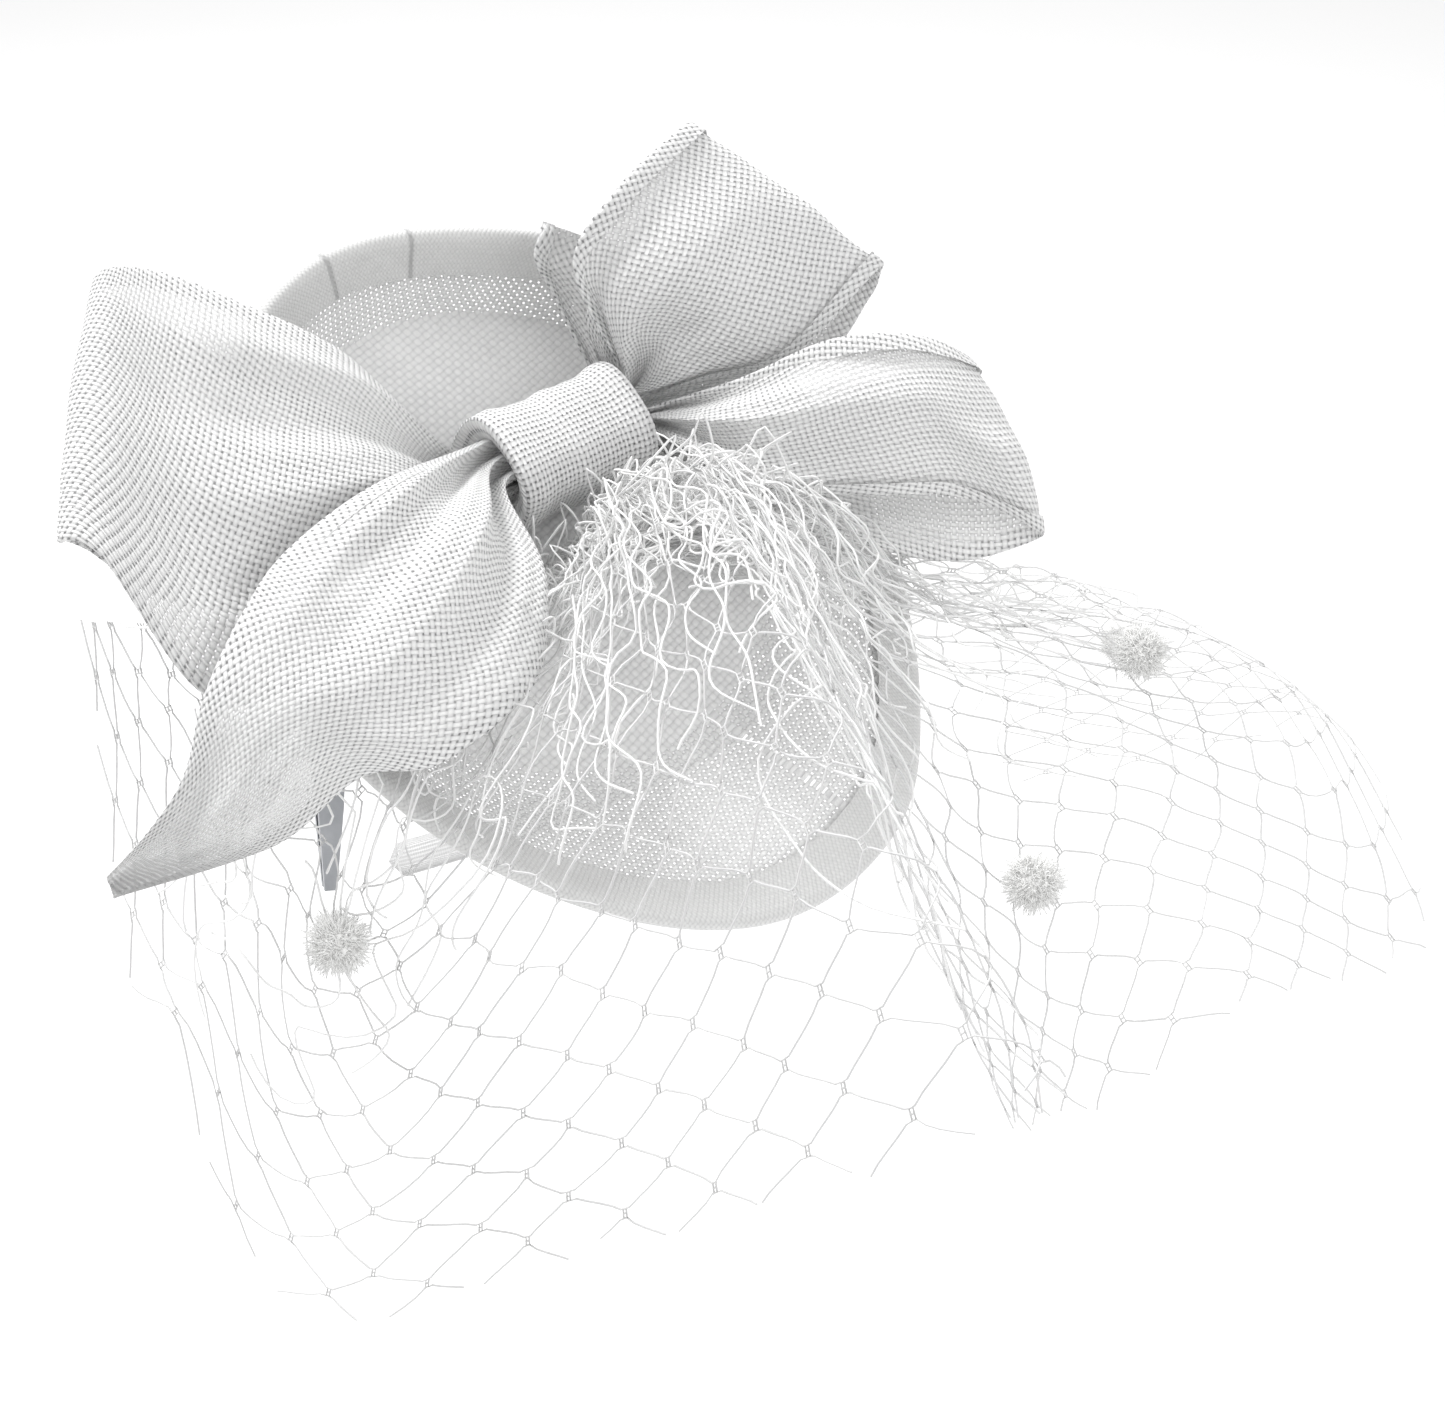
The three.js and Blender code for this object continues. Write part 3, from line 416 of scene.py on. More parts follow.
def saucerPiece(turns=224, floorRings=14, wallRings=26):
    share = np.arange(turns) / turns
    grid, openness = [], []
    for k in range(floorRings):
        part = saucer["centreHole"] + (1 - saucer["centreHole"]) * k / floorRings
        grid.append(footAt(share, part))
        openness.append(np.zeros(turns))
    for k in range(wallRings + 1):
        t = k / wallRings
        grid.append(wallAt(share, np.full(turns, t)))
        opened = min(max((t - saucer["openFrom"]) / saucer["openOver"], 0), 1)
        openness.append(np.full(turns, opened * saucer["openness"]))
    grid = np.stack(grid, 1)
    openness = np.stack(openness, 1)
    grid[..., 2] += smoothNoise(grid[..., 0] / 14 + 20, grid[..., 1] / 14 + 20, 3) * saucer["buckle"]
    # the cloth's threads run straight across the dish and open out up the wall
    centre = np.array([0, saucer["floorShift"]])
    flat = grid[..., :2] - centre
    reach = np.linalg.norm(flat, axis=2)
    run = arcLength(grid, 1) + reach[:, :1]
    uv = flat / np.maximum(reach, 1e-6)[..., None] * run[..., None]
    piece = sheetPiece("saucer", grid, uv, dishCloth, wrap=True, flip=True, extra={"openness": openness})
    return piece, sheetArea(grid, True)


# ribbon folded over the rim, drawn round a U
binding = {"width": 9.0, "side": 1.75, "roll": 1.8, "rollShare": 0.22, "pucker": 0.28, "length": 460,
           "seams": (0.4950, 0.4475), "seamWidth": 0.0011}


def bindingFrame(share):
    rim = rimAt(share)
    lower = wallAt(share, np.full(np.shape(share), 0.8))
    down = lower - rim
    down /= np.linalg.norm(down, axis=-1, keepdims=True)
    tangent = rimAt(np.asarray(share) + 0.002) - rimAt(np.asarray(share) - 0.002)
    inward = np.cross(down, tangent)
    inward /= np.linalg.norm(inward, axis=-1, keepdims=True)
    return rim, down, inward


def bindingPiece(turns=900, columns=22):
    share = np.arange(turns) / turns
    rim, down, inward = bindingFrame(share)
    grid, along = [], []
    lap, rollShare = binding["width"], binding["rollShare"]
    for k in range(columns + 1):
        t = k / columns * 2 - 1
        depth = abs(t)
        turnShare = min(depth / rollShare, 1)
        side = binding["side"] * math.copysign(math.sin(turnShare * math.pi / 2), t)
        drop = -binding["roll"] * math.cos(turnShare * math.pi / 2)
        drop += lap * max(depth - rollShare, 0) / (1 - rollShare)
        pucker = smoothNoise(share * 95 + 9, np.full(turns, depth * 3 + 40.0), 11)
        pucker *= binding["pucker"] * depth
        grid.append(rim + inward * (side + pucker[:, None] * math.copysign(1, t)) + down * drop)
        along.append(np.full(turns, t * lap))
    grid = np.stack(grid, 1)
    across = np.stack(along, 1)
    length = np.repeat(arcLength(grid[:, columns // 2])[:, None], columns + 1, 1)
    uv = np.stack([(length + across) * 0.707, (length - across) * 0.707], -1)
    seam = sum(np.exp(-((share - spot) / binding["seamWidth"]) ** 2) for spot in binding["seams"])
    seam = np.repeat(seam[:, None], columns + 1, 1)
    piece = sheetPiece("rimRibbon", grid, uv, bindingCloth, wrap=True, flip=True, extra={"seam": seam})
    return piece, sheetArea(grid, True)


# bow: every ribbon starts in the knot
bow = {"knotLength": 32, "knotWidth": 24, "knotHeight": 24, "x": -5, "y": 14, "turn": -15,
       "rise": 100, "pleat": 2.3, "finePleat": 0.55, "buckle": 0.9, "layer": 5.9, "cloth": 1.2, "gap": 0.35,
       "hem": 3.6, "hemShare": 0.12, "knotPower": 0.75, "knotRidge": 0.045, "knotCut": 50}
knotCentre = np.array([bow["x"], bow["y"], saucer["wall"] + bow["gap"] + bow["knotHeight"] / 2])
knotTurn = math.radians(bow["turn"])
knotAlong = np.array([-math.sin(knotTurn), math.cos(knotTurn), 0])
knotAcross = np.array([math.cos(knotTurn), math.sin(knotTurn), 0])


def knotSpot(along, across, up):
    return knotCentre + knotAlong * along + knotAcross * across + np.array([0, 0, up])


# mouth: which end of the knot, then the strip's middle, half width and layer there
# each row: edge a (x, y, z), edge b (x, y, z), bulge, pleat, as shares of the reach and the rise
loops = {
    "leftLoop": {"node": "bow_loop_left", "steps": 150, "columns": 56, "seed": 5, "waves": 2.5,
        "bias": 20, "reach": 95, "mouth": (-1, 0, 5.8, 0), "endMouth": (-1, 0, 5.8, -1), "rows": [
        (-0.37, -0.31, 0.19, 0.08, -0.56, 0.12, 0.01, 0.7),
        (-0.56, -0.43, 0.25, 0.05, -0.88, 0.16, 0.02, 0.6),
        (-0.67, -0.52, 0.29, -0.05, -1.04, 0.21, 0.02, 0.2),
        (-0.73, -0.61, 0.31, -0.33, -1.02, 0.28, 0.02, 0),
        (-0.74, -0.64, 0.27, -0.40, -1.04, 0.25, 0.02, 0),
        (-0.71, -0.60, 0.22, -0.38, -1.00, 0.21, 0.02, 0),
        (-0.58, -0.53, 0.18, -0.19, -0.93, 0.18, 0.01, 0.2),
        (-0.36, -0.39, 0.12, -0.02, -0.65, 0.11, 0, 0.6)]},
    "topLoop": {"node": "bow_loop_top", "steps": 130, "columns": 48, "seed": 9, "waves": 2,
        "bias": 30, "reach": 75, "mouth": (1, -4.4, 2.9, 1), "endMouth": (1, -4.4, 2.9, 0), "rows": [
        (-0.27, 0.23, 0.24, 0.16, 0.37, 0.16, -0.02, 0.8),
        (-0.31, 0.37, 0.38, 0.28, 0.52, 0.24, -0.05, 0.4),
        (-0.31, 0.59, 0.44, 0.28, 0.84, 0.33, -0.03, 0),
        (-0.31, 0.66, 0.41, 0.29, 0.88, 0.31, -0.01, 0),
        (-0.29, 0.66, 0.35, 0.31, 0.86, 0.25, -0.02, 0),
        (-0.25, 0.48, 0.23, 0.33, 0.70, 0.16, -0.02, 0.3),
        (-0.21, 0.32, 0.09, 0.18, 0.43, 0.06, 0, 0.7)]},
    "rightLoop": {"node": "bow_loop_right", "steps": 140, "columns": 48, "seed": 13, "waves": 2,
        "bias": 12, "reach": 95, "mouth": (1, 4.4, 2.9, 1), "endMouth": (1, 4.4, 2.9, 0), "rows": [
        (0.19, 0.25, 0.28, 0.34, 0.13, 0.18, -0.03, 0.8),
        (0.27, 0.40, 0.37, 0.53, 0.28, 0.24, -0.05, 0.4),
        (0.37, 0.51, 0.41, 0.68, 0.42, 0.28, -0.05, 0.1),
        (0.46, 0.56, 0.43, 0.84, 0.48, 0.30, -0.03, 0),
        (0.50, 0.60, 0.38, 0.86, 0.50, 0.26, -0.03, 0),
        (0.42, 0.58, 0.27, 0.78, 0.40, 0.17, -0.02, 0.1),
        (0.33, 0.47, 0.15, 0.64, 0.32, 0.11, -0.01, 0.4),
        (0.22, 0.29, 0.05, 0.37, 0.22, 0.03, 0, 0.7)]},
    "frontTail": {"node": "bow_tail_front", "steps": 130, "columns": 60, "seed": 17, "waves": 2.5,
        "bias": 42, "reach": 125, "mouth": (-1, 0, 5.8, 1), "rows": [
        (-0.10, -0.39, 0.24, 0.18, -0.30, 0.18, 0.03, 0.8),
        (-0.10, -0.58, 0.28, 0.26, -0.43, 0.21, 0.04, 0.6),
        (-0.07, -0.70, 0.30, 0.25, -0.63, 0.22, 0.04, 0.2),
        (-0.02, -0.82, 0.29, 0.19, -0.72, 0.21, 0.03, 0),
        (0.03, -0.90, 0.24, 0.18, -0.84, 0.18, 0.02, 0),
        (0.05, -0.97, 0.18, 0.15, -0.91, 0.15, 0.01, 0),
        (0.05, -1.04, 0.12, 0.075, -1.05, 0.11, 0, 0)]},
    "backTail": {"node": "bow_tail_back", "steps": 60, "columns": 40, "seed": 21, "waves": 2,
        "bias": 30, "reach": 60, "mouth": (1, -4.4, 2.9, -1), "rows": [
        (-0.35, 0.37, 0.06, -0.07, 0.57, 0.04, 0, 0.7),
        (-0.48, 0.34, 0.14, -0.15, 0.67, 0.10, 0, 0.4),
        (-0.55, 0.42, 0.18, -0.23, 0.70, 0.14, 0, 0)]},
}


def mouthRows(end, across, halfWidth, layer):
    # the strip's two edges inside the knot and just outside it
    up = layer * bow["layer"]
    rows = []
    for reach, pleat in ((0.1 * bow["knotLength"], 0.7), (bow["knotLength"] / 2 + 3, 0.75)):
        edges = [knotSpot(end * reach, across + side * halfWidth, up) for side in (-1, 1)]
        rows.append((*edges, 0, pleat))
    return rows


def ribbonGrid(look):
    steps, columns, seed, hem = look["steps"], look["columns"], look["seed"], bow["hem"]
    scale = np.array([look["reach"], look["reach"], bow["rise"]])
    table = mouthRows(*look["mouth"])
    table += [(knotCentre + np.array(r[:3]) * scale, knotCentre + np.array(r[3:6]) * scale,
               r[6] * look["reach"], r[7]) for r in look["rows"]]
    if "endMouth" in look:
        table += mouthRows(*look["endMouth"])[::-1]
    t = np.linspace(0, 1, steps + 1)
    a = splineAt([r[0] for r in table], t)
    b = splineAt([r[1] for r in table], t)
    bulge = splineAt([r[2] for r in table], t)
    pleat = np.maximum(splineAt([r[3] for r in table], t), 0)
    middle = (a + b) / 2
    out = np.cross(np.gradient(middle, axis=0), b - a)
    out /= np.linalg.norm(out, axis=1, keepdims=True)
    v = np.linspace(0, 1, columns + 1)
    waves = look["waves"]
    crown = bulge[:, None] * 4 * v * (1 - v)
    fold = pleat[:, None] * bow["pleat"] * np.sin(v * waves * 2 * math.pi)
    # small gathers between the big ones, and the cloth's own slight buckling
    fineWave = np.sin(v * waves * 6 * math.pi + 0.9 + 0.4 * np.sin(t * 9)[:, None])
    finePleat = (pleat[:, None] ** 1.5) * bow["finePleat"] * fineWave
    place = t[:, None] * 9 + 0 * v, v * 5 + 0 * t[:, None]
    buckle = smoothNoise(place[0] + seed, place[1] + seed, seed) * bow["buckle"]
    buckle = buckle * np.minimum(t * 6, 1)[:, None]
    lift = crown + fold + finePleat + buckle
    grid = a[:, None] + (b - a)[:, None] * v[None, :, None] + out[:, None] * lift[..., None]
    run = arcLength(grid, 0).mean(1)
    ribbon = arcLength(grid, 1)[:, -1].max()
    flatU = np.repeat(v[None] * ribbon, steps + 1, 0)
    flatV = np.repeat(run[:, None], columns + 1, 1)
    bias = math.radians(look["bias"])
    uv = np.stack([flatU * math.cos(bias) + flatV * math.sin(bias),
                   flatV * math.cos(bias) - flatU * math.sin(bias)], -1)
    # both edges are turned under and lie against the back
    normal = gridNormals(grid)
    for side in (0, -1):
        inner = 1 if side == 0 else -2
        across = grid[:, inner] - grid[:, side]
        across /= np.linalg.norm(across, axis=1, keepdims=True)
        edge, n = grid[:, side], normal[:, side]
        width = np.linalg.norm(b - a, axis=1)[:, None]
        depth = np.minimum(hem, width * bow["hemShare"])
        turned = [edge + across * k * depth - n * d
                  for k, d in ((-0.06, 0.35), (0.1, 0.75), (0.5, 0.8), (1.0, 0.75))]
        step = -1 if side == 0 else 1
        edgeUv = uv[:, side]
        turnedUv = [edgeUv + np.array([step * k * math.cos(bias), -step * k * math.sin(bias)])
                    for k in (0.5, 1.0, 2.5, 4.5)]
        if side == 0:
            grid = np.concatenate([np.stack(turned[::-1], 1), grid], 1)
            uv = np.concatenate([np.stack(turnedUv[::-1], 1), uv], 1)
            normal = gridNormals(grid)
        else:
            grid = np.concatenate([grid, np.stack(turned, 1)], 1)
            uv = np.concatenate([uv, np.stack(turnedUv, 1)], 1)
    return grid, uv, ((ribbon + hem * 2) / 1000, run[-1] / 1000)


def knotPiece(turns=150, columns=26):
    angle = np.arange(turns) / turns * 2 * math.pi
    along = np.linspace(-0.5, 0.5, columns + 1)
    flare = 0.97 + 0.08 * (along * 2) ** 2
    wide = (bow["knotWidth"] - bow["cloth"]) / 2
    tall = (bow["knotHeight"] - bow["cloth"]) / 2
    flareUp = np.where((np.sin(angle) < -0.5)[:, None], 0.97, flare[None])
    x = squareOff(np.cos(angle), bow["knotPower"])[:, None] * wide * flare[None]
    z = squareOff(np.sin(angle), bow["knotPower"])[:, None] * tall * flareUp
    ridge = np.sin(along * 15 + 0.8)[None] * 0.5 + np.sin(along * 31 + np.sin(angle)[:, None] * 2) * 0.25
    lift = 1 + np.where((np.sin(angle) > -0.45)[:, None], ridge * bow["knotRidge"], 0)
    grid = (knotCentre + knotAlong * (along * bow["knotLength"])[None, :, None]
            + knotAcross * (x * lift)[..., None] + np.array([0, 0, 1.0]) * (z * lift)[..., None])
    run = arcLength(grid, 0).mean(1)
    uv = np.stack([np.repeat(along[None] * 40, turns, 0), np.repeat(run[:, None], columns + 1, 1)], -1)
    # both ends tuck in
    tuck = []
    for side in (0, -1):
        edge = grid[:, side]
        centre = knotCentre + knotAlong * along[side] * bow["knotLength"]
        inner = [edge + (centre - edge) * k + knotAlong * (d if side else -d)
                 for k, d in ((0.06, 0.3), (0.2, -0.2), (0.42, -1.4), (0.62, -4.5))]
        step = 1 if side else -1
        uvs = [uv[:, side] + np.array([step * k, 0]) for k in (0.6, 1.2, 3, 5)]
        tuck.append((inner, uvs))
    grid = np.concatenate([np.stack(tuck[0][0][::-1], 1), grid, np.stack(tuck[1][0], 1)], 1)
    uv = np.concatenate([np.stack(tuck[0][1][::-1], 1), uv, np.stack(tuck[1][1], 1)], 1)
    return sheetPiece("knot", grid, uv, strawCloth, wrap=True), sheetArea(grid, True)


def settle(piece, nodes, body=hatBody):
    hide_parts(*nodes)
    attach(piece, body)


saucerSheet, area = saucerPiece()
settle(saucerSheet, ["saucer_base"])
rimRibbon, area = bindingPiece()
settle(rimRibbon, ["rim_binding"])
ribbonLength = binding["length"] / 1000
area / ribbonLength
print("saucer and rim ribbon ready")

for name, look in loops.items():
    grid, uv, flat = ribbonGrid(look)
    piece = sheetPiece(name, grid, uv, strawCloth)
    settle(piece, [look["node"]])
    area = min(sheetArea(grid), flat[0] * flat[1])
knot, area = knotPiece()
settle(knot, ["bow_knot"])
knotCut = bow["knotCut"] / 1000
area / knotCut
print("bow ready")

# veil: a knotted net that hangs over ribs, from the gather beside the knot to the hem
veil = {"drop": 100, "columns": 32, "rows": 13, "bend": ((0, 0.42, 1), (0, 0.5, 1)), "hem": 0.985,
        "jitter": 0.07, "slack": 0.07, "cutEnds": 0.5, "joinHalf": 1.0, "pair": 0.42, "thread": 0.21,
        "from": -0.62, "run": 1.3, "spread": 0.42, "gatherGap": 2.5, "seat": 0.95,
        "pleats": 23, "pleatDepth": 2.4, "stray": 0.6, "gatherStray": 1.6, "bundle": 0.55, "step": 0.004}
# each row: crest, over, mid, hem, as shares of the rim's half sizes, the wall's height and the drop
veilRibs = [
    (-0.10, -0.21, 0.64, -0.40, -0.94, 1.14, -0.65, -1.07, 0.04, -0.82, -1.00, -0.19),
    (-0.07, -0.24, 0.68, -0.23, -1.04, 1.09, -0.38, -1.19, -0.08, -0.49, -1.27, -0.37),
    (-0.05, -0.25, 0.73, -0.10, -1.10, 1.07, -0.07, -1.34, -0.12, -0.14, -1.55, -0.49),
    (-0.03, -0.25, 0.82, 0.03, -1.10, 1.09, 0.05, -1.42, -0.08, 0.05, -1.61, -0.46),
    (0.00, -0.24, 1.00, 0.15, -1.09, 1.18, 0.24, -1.37, -0.12, 0.53, -1.81, -0.72),
    (0.00, -0.18, 1.27, 0.25, -1.01, 1.41, 0.45, -1.37, 0.03, 0.85, -1.82, -0.55),
    (-0.03, -0.09, 1.50, 0.33, -0.93, 1.95, 0.59, -1.28, 0.27, 1.02, -1.57, -0.14),
    (-0.04, -0.03, 1.68, 0.38, -0.81, 2.73, 0.74, -1.18, 0.51, 1.16, -1.42, 0.22),
    (-0.04, 0.01, 1.82, 0.42, -0.72, 3.45, 0.85, -1.09, 0.75, 1.26, -1.31, 0.56),
    (-0.03, 0.06, 2.00, 0.47, -0.64, 4.00, 0.94, -0.99, 0.98, 1.35, -1.22, 0.90),
    (0.00, 0.12, 2.09, 0.53, -0.51, 4.09, 1.01, -0.84, 1.01, 1.45, -0.99, 1.01),
    (0.04, 0.19, 2.05, 0.60, -0.30, 3.18, 1.10, -0.55, 0.60, 1.61, -0.60, 0.34),
    (0.09, 0.27, 1.95, 0.57, 0.00, 2.41, 1.25, -0.04, 0.34, 1.84, -0.10, 0.08),
    (0.16, 0.34, 1.91, 0.57, 0.21, 2.00, 1.21, 0.33, 0.35, 1.94, 0.36, 0.22),
    (0.24, 0.42, 1.82, 0.59, 0.40, 1.73, 1.26, 0.66, 0.36, 2.12, 0.70, 0.19),
    (0.31, 0.49, 1.59, 0.61, 0.57, 1.41, 1.44, 0.99, 0.31, 2.30, 1.06, 0.17),
    (0.40, 0.57, 1.27, 0.65, 0.67, 1.05, 1.41, 1.19, 0.29, 2.20, 1.42, 0.09),
    (0.45, 0.63, 1.00, 0.66, 0.76, 0.82, 1.26, 1.45, 0.16, 1.86, 2.03, -0.18),
    (0.47, 0.69, 0.82, 0.62, 0.87, 0.73, 1.02, 1.46, -0.01, 1.65, 1.87, -0.61),
    (0.45, 0.75, 0.68, 0.53, 0.94, 0.77, 0.84, 1.30, -0.15, 1.31, 1.54, -0.88),
]


def veilLines():
    lines = []
    for k, r in enumerate(veilRibs):
        share = k / (len(veilRibs) - 1)
        aside = bow["knotWidth"] / 2 + veil["gatherGap"] + bow["knotWidth"] * veil["spread"] * share
        start = knotSpot(bow["knotLength"] * (veil["from"] + veil["run"] * share), aside, 0)
        start[2] = saucer["wall"] + veil["seat"]
        spots = [start]
        for n, scale in enumerate((saucer["height"], saucer["height"], veil["drop"], veil["drop"])):
            x, y, z = r[n * 3:n * 3 + 3]
            out = saucer["shift"] + x * saucer["halfLength"]
            spots.append(np.array([out, y * saucer["halfWidth"], z * scale]))
        lines.append(spots)
    return np.array(lines)


def veilSurface(fineU=420, fineV=120):
    # even steps across the hem and down each rib
    u, v = np.linspace(0, 1, fineU), np.linspace(0, 1, fineV)
    ribs = np.stack([splineAt(line, v) for line in veilLines()])
    net = splineAt(ribs, u)
    lower = net[:, int(fineV * 0.78)]
    run = arcLength(lower)
    even = np.interp(np.linspace(0, run[-1], fineU), run, u)
    net = splineAt(ribs, even)
    down = arcLength(net, 1)
    out = np.empty_like(net)
    for k in range(fineU):
        target = np.linspace(0, down[k, -1], fineV)
        for c in range(3):
            out[k, :, c] = np.interp(target, down[k], net[k, :, c])
    return out


def bilinear(field, u, v):
    rows, columns = field.shape[:2]
    x, y = np.clip(u, 0, 1) * (rows - 1), np.clip(v, 0, 1) * (columns - 1)
    i, j = np.minimum(x.astype(int), rows - 2), np.minimum(y.astype(int), columns - 2)
    f, g = (x - i)[..., None], (y - j)[..., None]
    return ((field[i, j] * (1 - f) + field[i + 1, j] * f) * (1 - g)
            + (field[i, j + 1] * (1 - f) + field[i + 1, j + 1] * f) * g)


netField = veilSurface()
netNormal = gridNormals(netField)


def netSpot(u, v, lift=0.0, seed=1):
    u, v = np.asarray(u, float), np.asarray(v, float)
    spot = bilinear(netField, u, v)
    normal = bilinear(netNormal, u, v)
    gather = np.clip(1 - v, 0, 1) ** 1.3 * np.clip(v * 9, 0.15, 1)
    wave = np.sin(u * veil["pleats"] * 2 * math.pi + 2.2 * np.sin(u * 19)) * veil["pleatDepth"] * gather
    stray = smoothNoise(u * 30 + 5, v * 9 + 5, seed + 30) * (veil["stray"] + veil["gatherStray"] * gather)
    return spot + normal * (wave + stray + lift)[..., None]


def netThreads(seed):
    # threads zigzag down the veil and meet their neighbour at each join
    columns, rows, jitter = veil["columns"], veil["rows"], veil["jitter"]
    paths, joins = [], []
    r = np.random.default_rng(seed)
    shiftU = np.clip(r.normal(0, jitter, (2 * columns + 3, 2 * rows + 3)), -0.6, 0.6)
    shiftV = np.clip(r.normal(0, jitter * 0.8, (2 * columns + 3, 2 * rows + 3)), -0.6, 0.6)

    def joinAt(i, j):
        return (np.interp((i + shiftU[i, j]) / (2 * columns), *veil["bend"]),
                (j + 0.5 + shiftV[i, j]) / (2 * rows + 0.5) * veil["hem"])

    for m in range(2 * columns):
        path = []
        for j in range(2 * rows):
            i = m + ((m + j) % 2)
            u, v = joinAt(i, j)
            side = 0.5 if i == m else -0.5
            nextI = m + ((m + j + 1) % 2)
            u2, v2 = joinAt(nextI, j + 1)
            path.append((u, v, side, -1))
            path.append((u, v, side, 1))
            bowOut = r.normal(0, veil["slack"]) / (2 * columns)
            for f in (0.14, 0.32, 0.5, 0.68, 0.86):
                ease = f * f * (3 - 2 * f)
                across = u + (u2 - u) * (f * 0.5 + ease * 0.5) + bowOut * 4 * f * (1 - f)
                path.append((across, v + (v2 - v) * f, side * (1 - f) * 0.3, 0))
            if m % 2 == (j % 2):
                joins.append((u, v))
        if r.random() < veil["cutEnds"]:
            path = path[:-1 - int(r.integers(0, 2))]
        paths.append(np.array(path))
    return paths, np.array(joins)


def threadMesh(name, polylines, thickness=None):
    # thickness gives each point's share of the thread's radius
    verts, edges, start = [], [], 0
    for line in polylines:
        verts.append(line)
        k = np.arange(start, start + len(line) - 1)
        edges.append(np.stack([k, k + 1], 1))
        start += len(line)
    mesh = bpy.data.meshes.new(name)
    mesh.from_pydata(toWorld(np.concatenate(verts)).tolist(), np.concatenate(edges).tolist(), [])
    if thickness is not None:
        radius = mesh.attributes.new("radius", "FLOAT", "POINT")
        radius.data.foreach_set("value", np.concatenate(thickness))
    piece = bpy.data.objects.new(name, mesh)
    scene.collection.objects.link(piece)
    return piece


class Steps:
    # one geometry tree: named inputs, then a chain of nodes
    def __init__(self, name, inputs, material):
        self.tree = bpy.data.node_groups.new(name, "GeometryNodeTree")
        self.tree.interface.new_socket("Geometry", in_out="INPUT", socket_type="NodeSocketGeometry")
        self.ids = {}
        for key, (kind, value) in inputs.items():
            slot = self.tree.interface.new_socket(key, in_out="INPUT", socket_type=kind)
            slot.default_value = value
            self.ids[key] = slot.identifier
        self.tree.interface.new_socket("Geometry", in_out="OUTPUT", socket_type="NodeSocketGeometry")
        self.start = self.tree.nodes.new("NodeGroupInput")
        self.end = self.tree.nodes.new("NodeGroupOutput")
        self.material = material

    def node(self, kind, settings=None, **sockets):
        made = self.tree.nodes.new(kind)
        for key, value in (settings or {}).items():
            setattr(made, key, value)
        for key, value in sockets.items():
            slot = made.inputs[key.replace("_", " ")]
            if hasattr(value, "is_output"):
                self.tree.links.new(value, slot)
            else:
                slot.default_value = value
        return made

    def given(self, key):
        return self.start.outputs[key]

    def finish(self, geometry):
        solid = self.node("GeometryNodeRealizeInstances", Geometry=geometry).outputs[0]
        dressed = self.node("GeometryNodeSetMaterial", Geometry=solid)
        dressed.inputs["Material"].default_value = self.material
        self.tree.links.new(dressed.outputs[0], self.end.inputs[0])

    def build(self, piece, values):
        modifier = piece.modifiers.new("steps", "NODES")
        modifier.node_group = self.tree
        for key, value in values.items():
            modifier[self.ids[key]] = value
        graph = bpy.context.evaluated_depsgraph_get()
        mesh = bpy.data.meshes.new_from_object(piece.evaluated_get(graph), depsgraph=graph)
        piece.modifiers.remove(modifier)
        old = piece.data
        piece.data = mesh
        bpy.data.meshes.remove(old)
        mesh.name = piece.name
        mesh.polygons.foreach_set("use_smooth", [True] * len(mesh.polygons))
        return piece


def tubeSteps(name, material):
    s = Steps(name, {"Radius": ("NodeSocketFloat", 0.0002), "Sides": ("NodeSocketInt", 4)}, material)
    curve = s.node("GeometryNodeMeshToCurve", Mesh=s.given("Geometry")).outputs[0]
    ring = s.node("GeometryNodeCurvePrimitiveCircle", Resolution=s.given("Sides"), Radius=s.given("Radius"))
    tube = s.node("GeometryNodeCurveToMesh", Curve=curve, Profile_Curve=ring.outputs[0])
    tube.inputs["Fill Caps"].default_value = True
    s.finish(tube.outputs[0])
    return s


threadTube = tubeSteps("thread tube", veilThread)


def netAxes(u, v):
    # directions across and down the net at each spot
    step = veil["step"]
    across = netSpot(u + step, v) - netSpot(u - step, v)
    down = netSpot(u, v + step) - netSpot(u, v - step)
    across /= np.maximum(np.linalg.norm(across, axis=1, keepdims=True), 1e-9)
    down /= np.maximum(np.linalg.norm(down, axis=1, keepdims=True), 1e-9)
    return across, down


def laidThreads(paths):
    lines = []
    for path in paths:
        u, v, side, end = path.T
        across, down = netAxes(u, v)
        beside = across * (side * 2 * veil["pair"])[:, None]
        lines.append(netSpot(u, v) + beside + down * (end * veil["joinHalf"])[:, None])
    return lines


def joinRungs(joins):
    # three short rungs tie the pair of threads at each join
    u, v = joins.T
    spot = netSpot(u, v)
    across, down = netAxes(u, v)
    reach = veil["pair"] * 1.25
    rungs = []
    for place in (-0.95, 0, 0.95):
        middle = spot + down * veil["joinHalf"] * place
        rungs += [np.stack([m - a * reach, m + a * reach]) for m, a in zip(middle, across)]
    return rungs


outerPaths, outerJoins = netThreads(4)
# threads lie bundled, and so thicker, towards the gather
bundled = [1 + veil["bundle"] * np.clip(1 - path[:, 1] / veil["bundle"], 0, 1) for path in outerPaths]
outerNet = threadTube.build(threadMesh("veilNet", laidThreads(outerPaths), bundled),
                            {"Radius": veil["thread"] * 0.001, "Sides": 4})
settle(outerNet, ["veil_net"])
rungs = threadTube.build(threadMesh("veilJoins", joinRungs(outerJoins)),
                         {"Radius": veil["thread"] * 0.0009, "Sides": 4})
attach(rungs, hatBody)


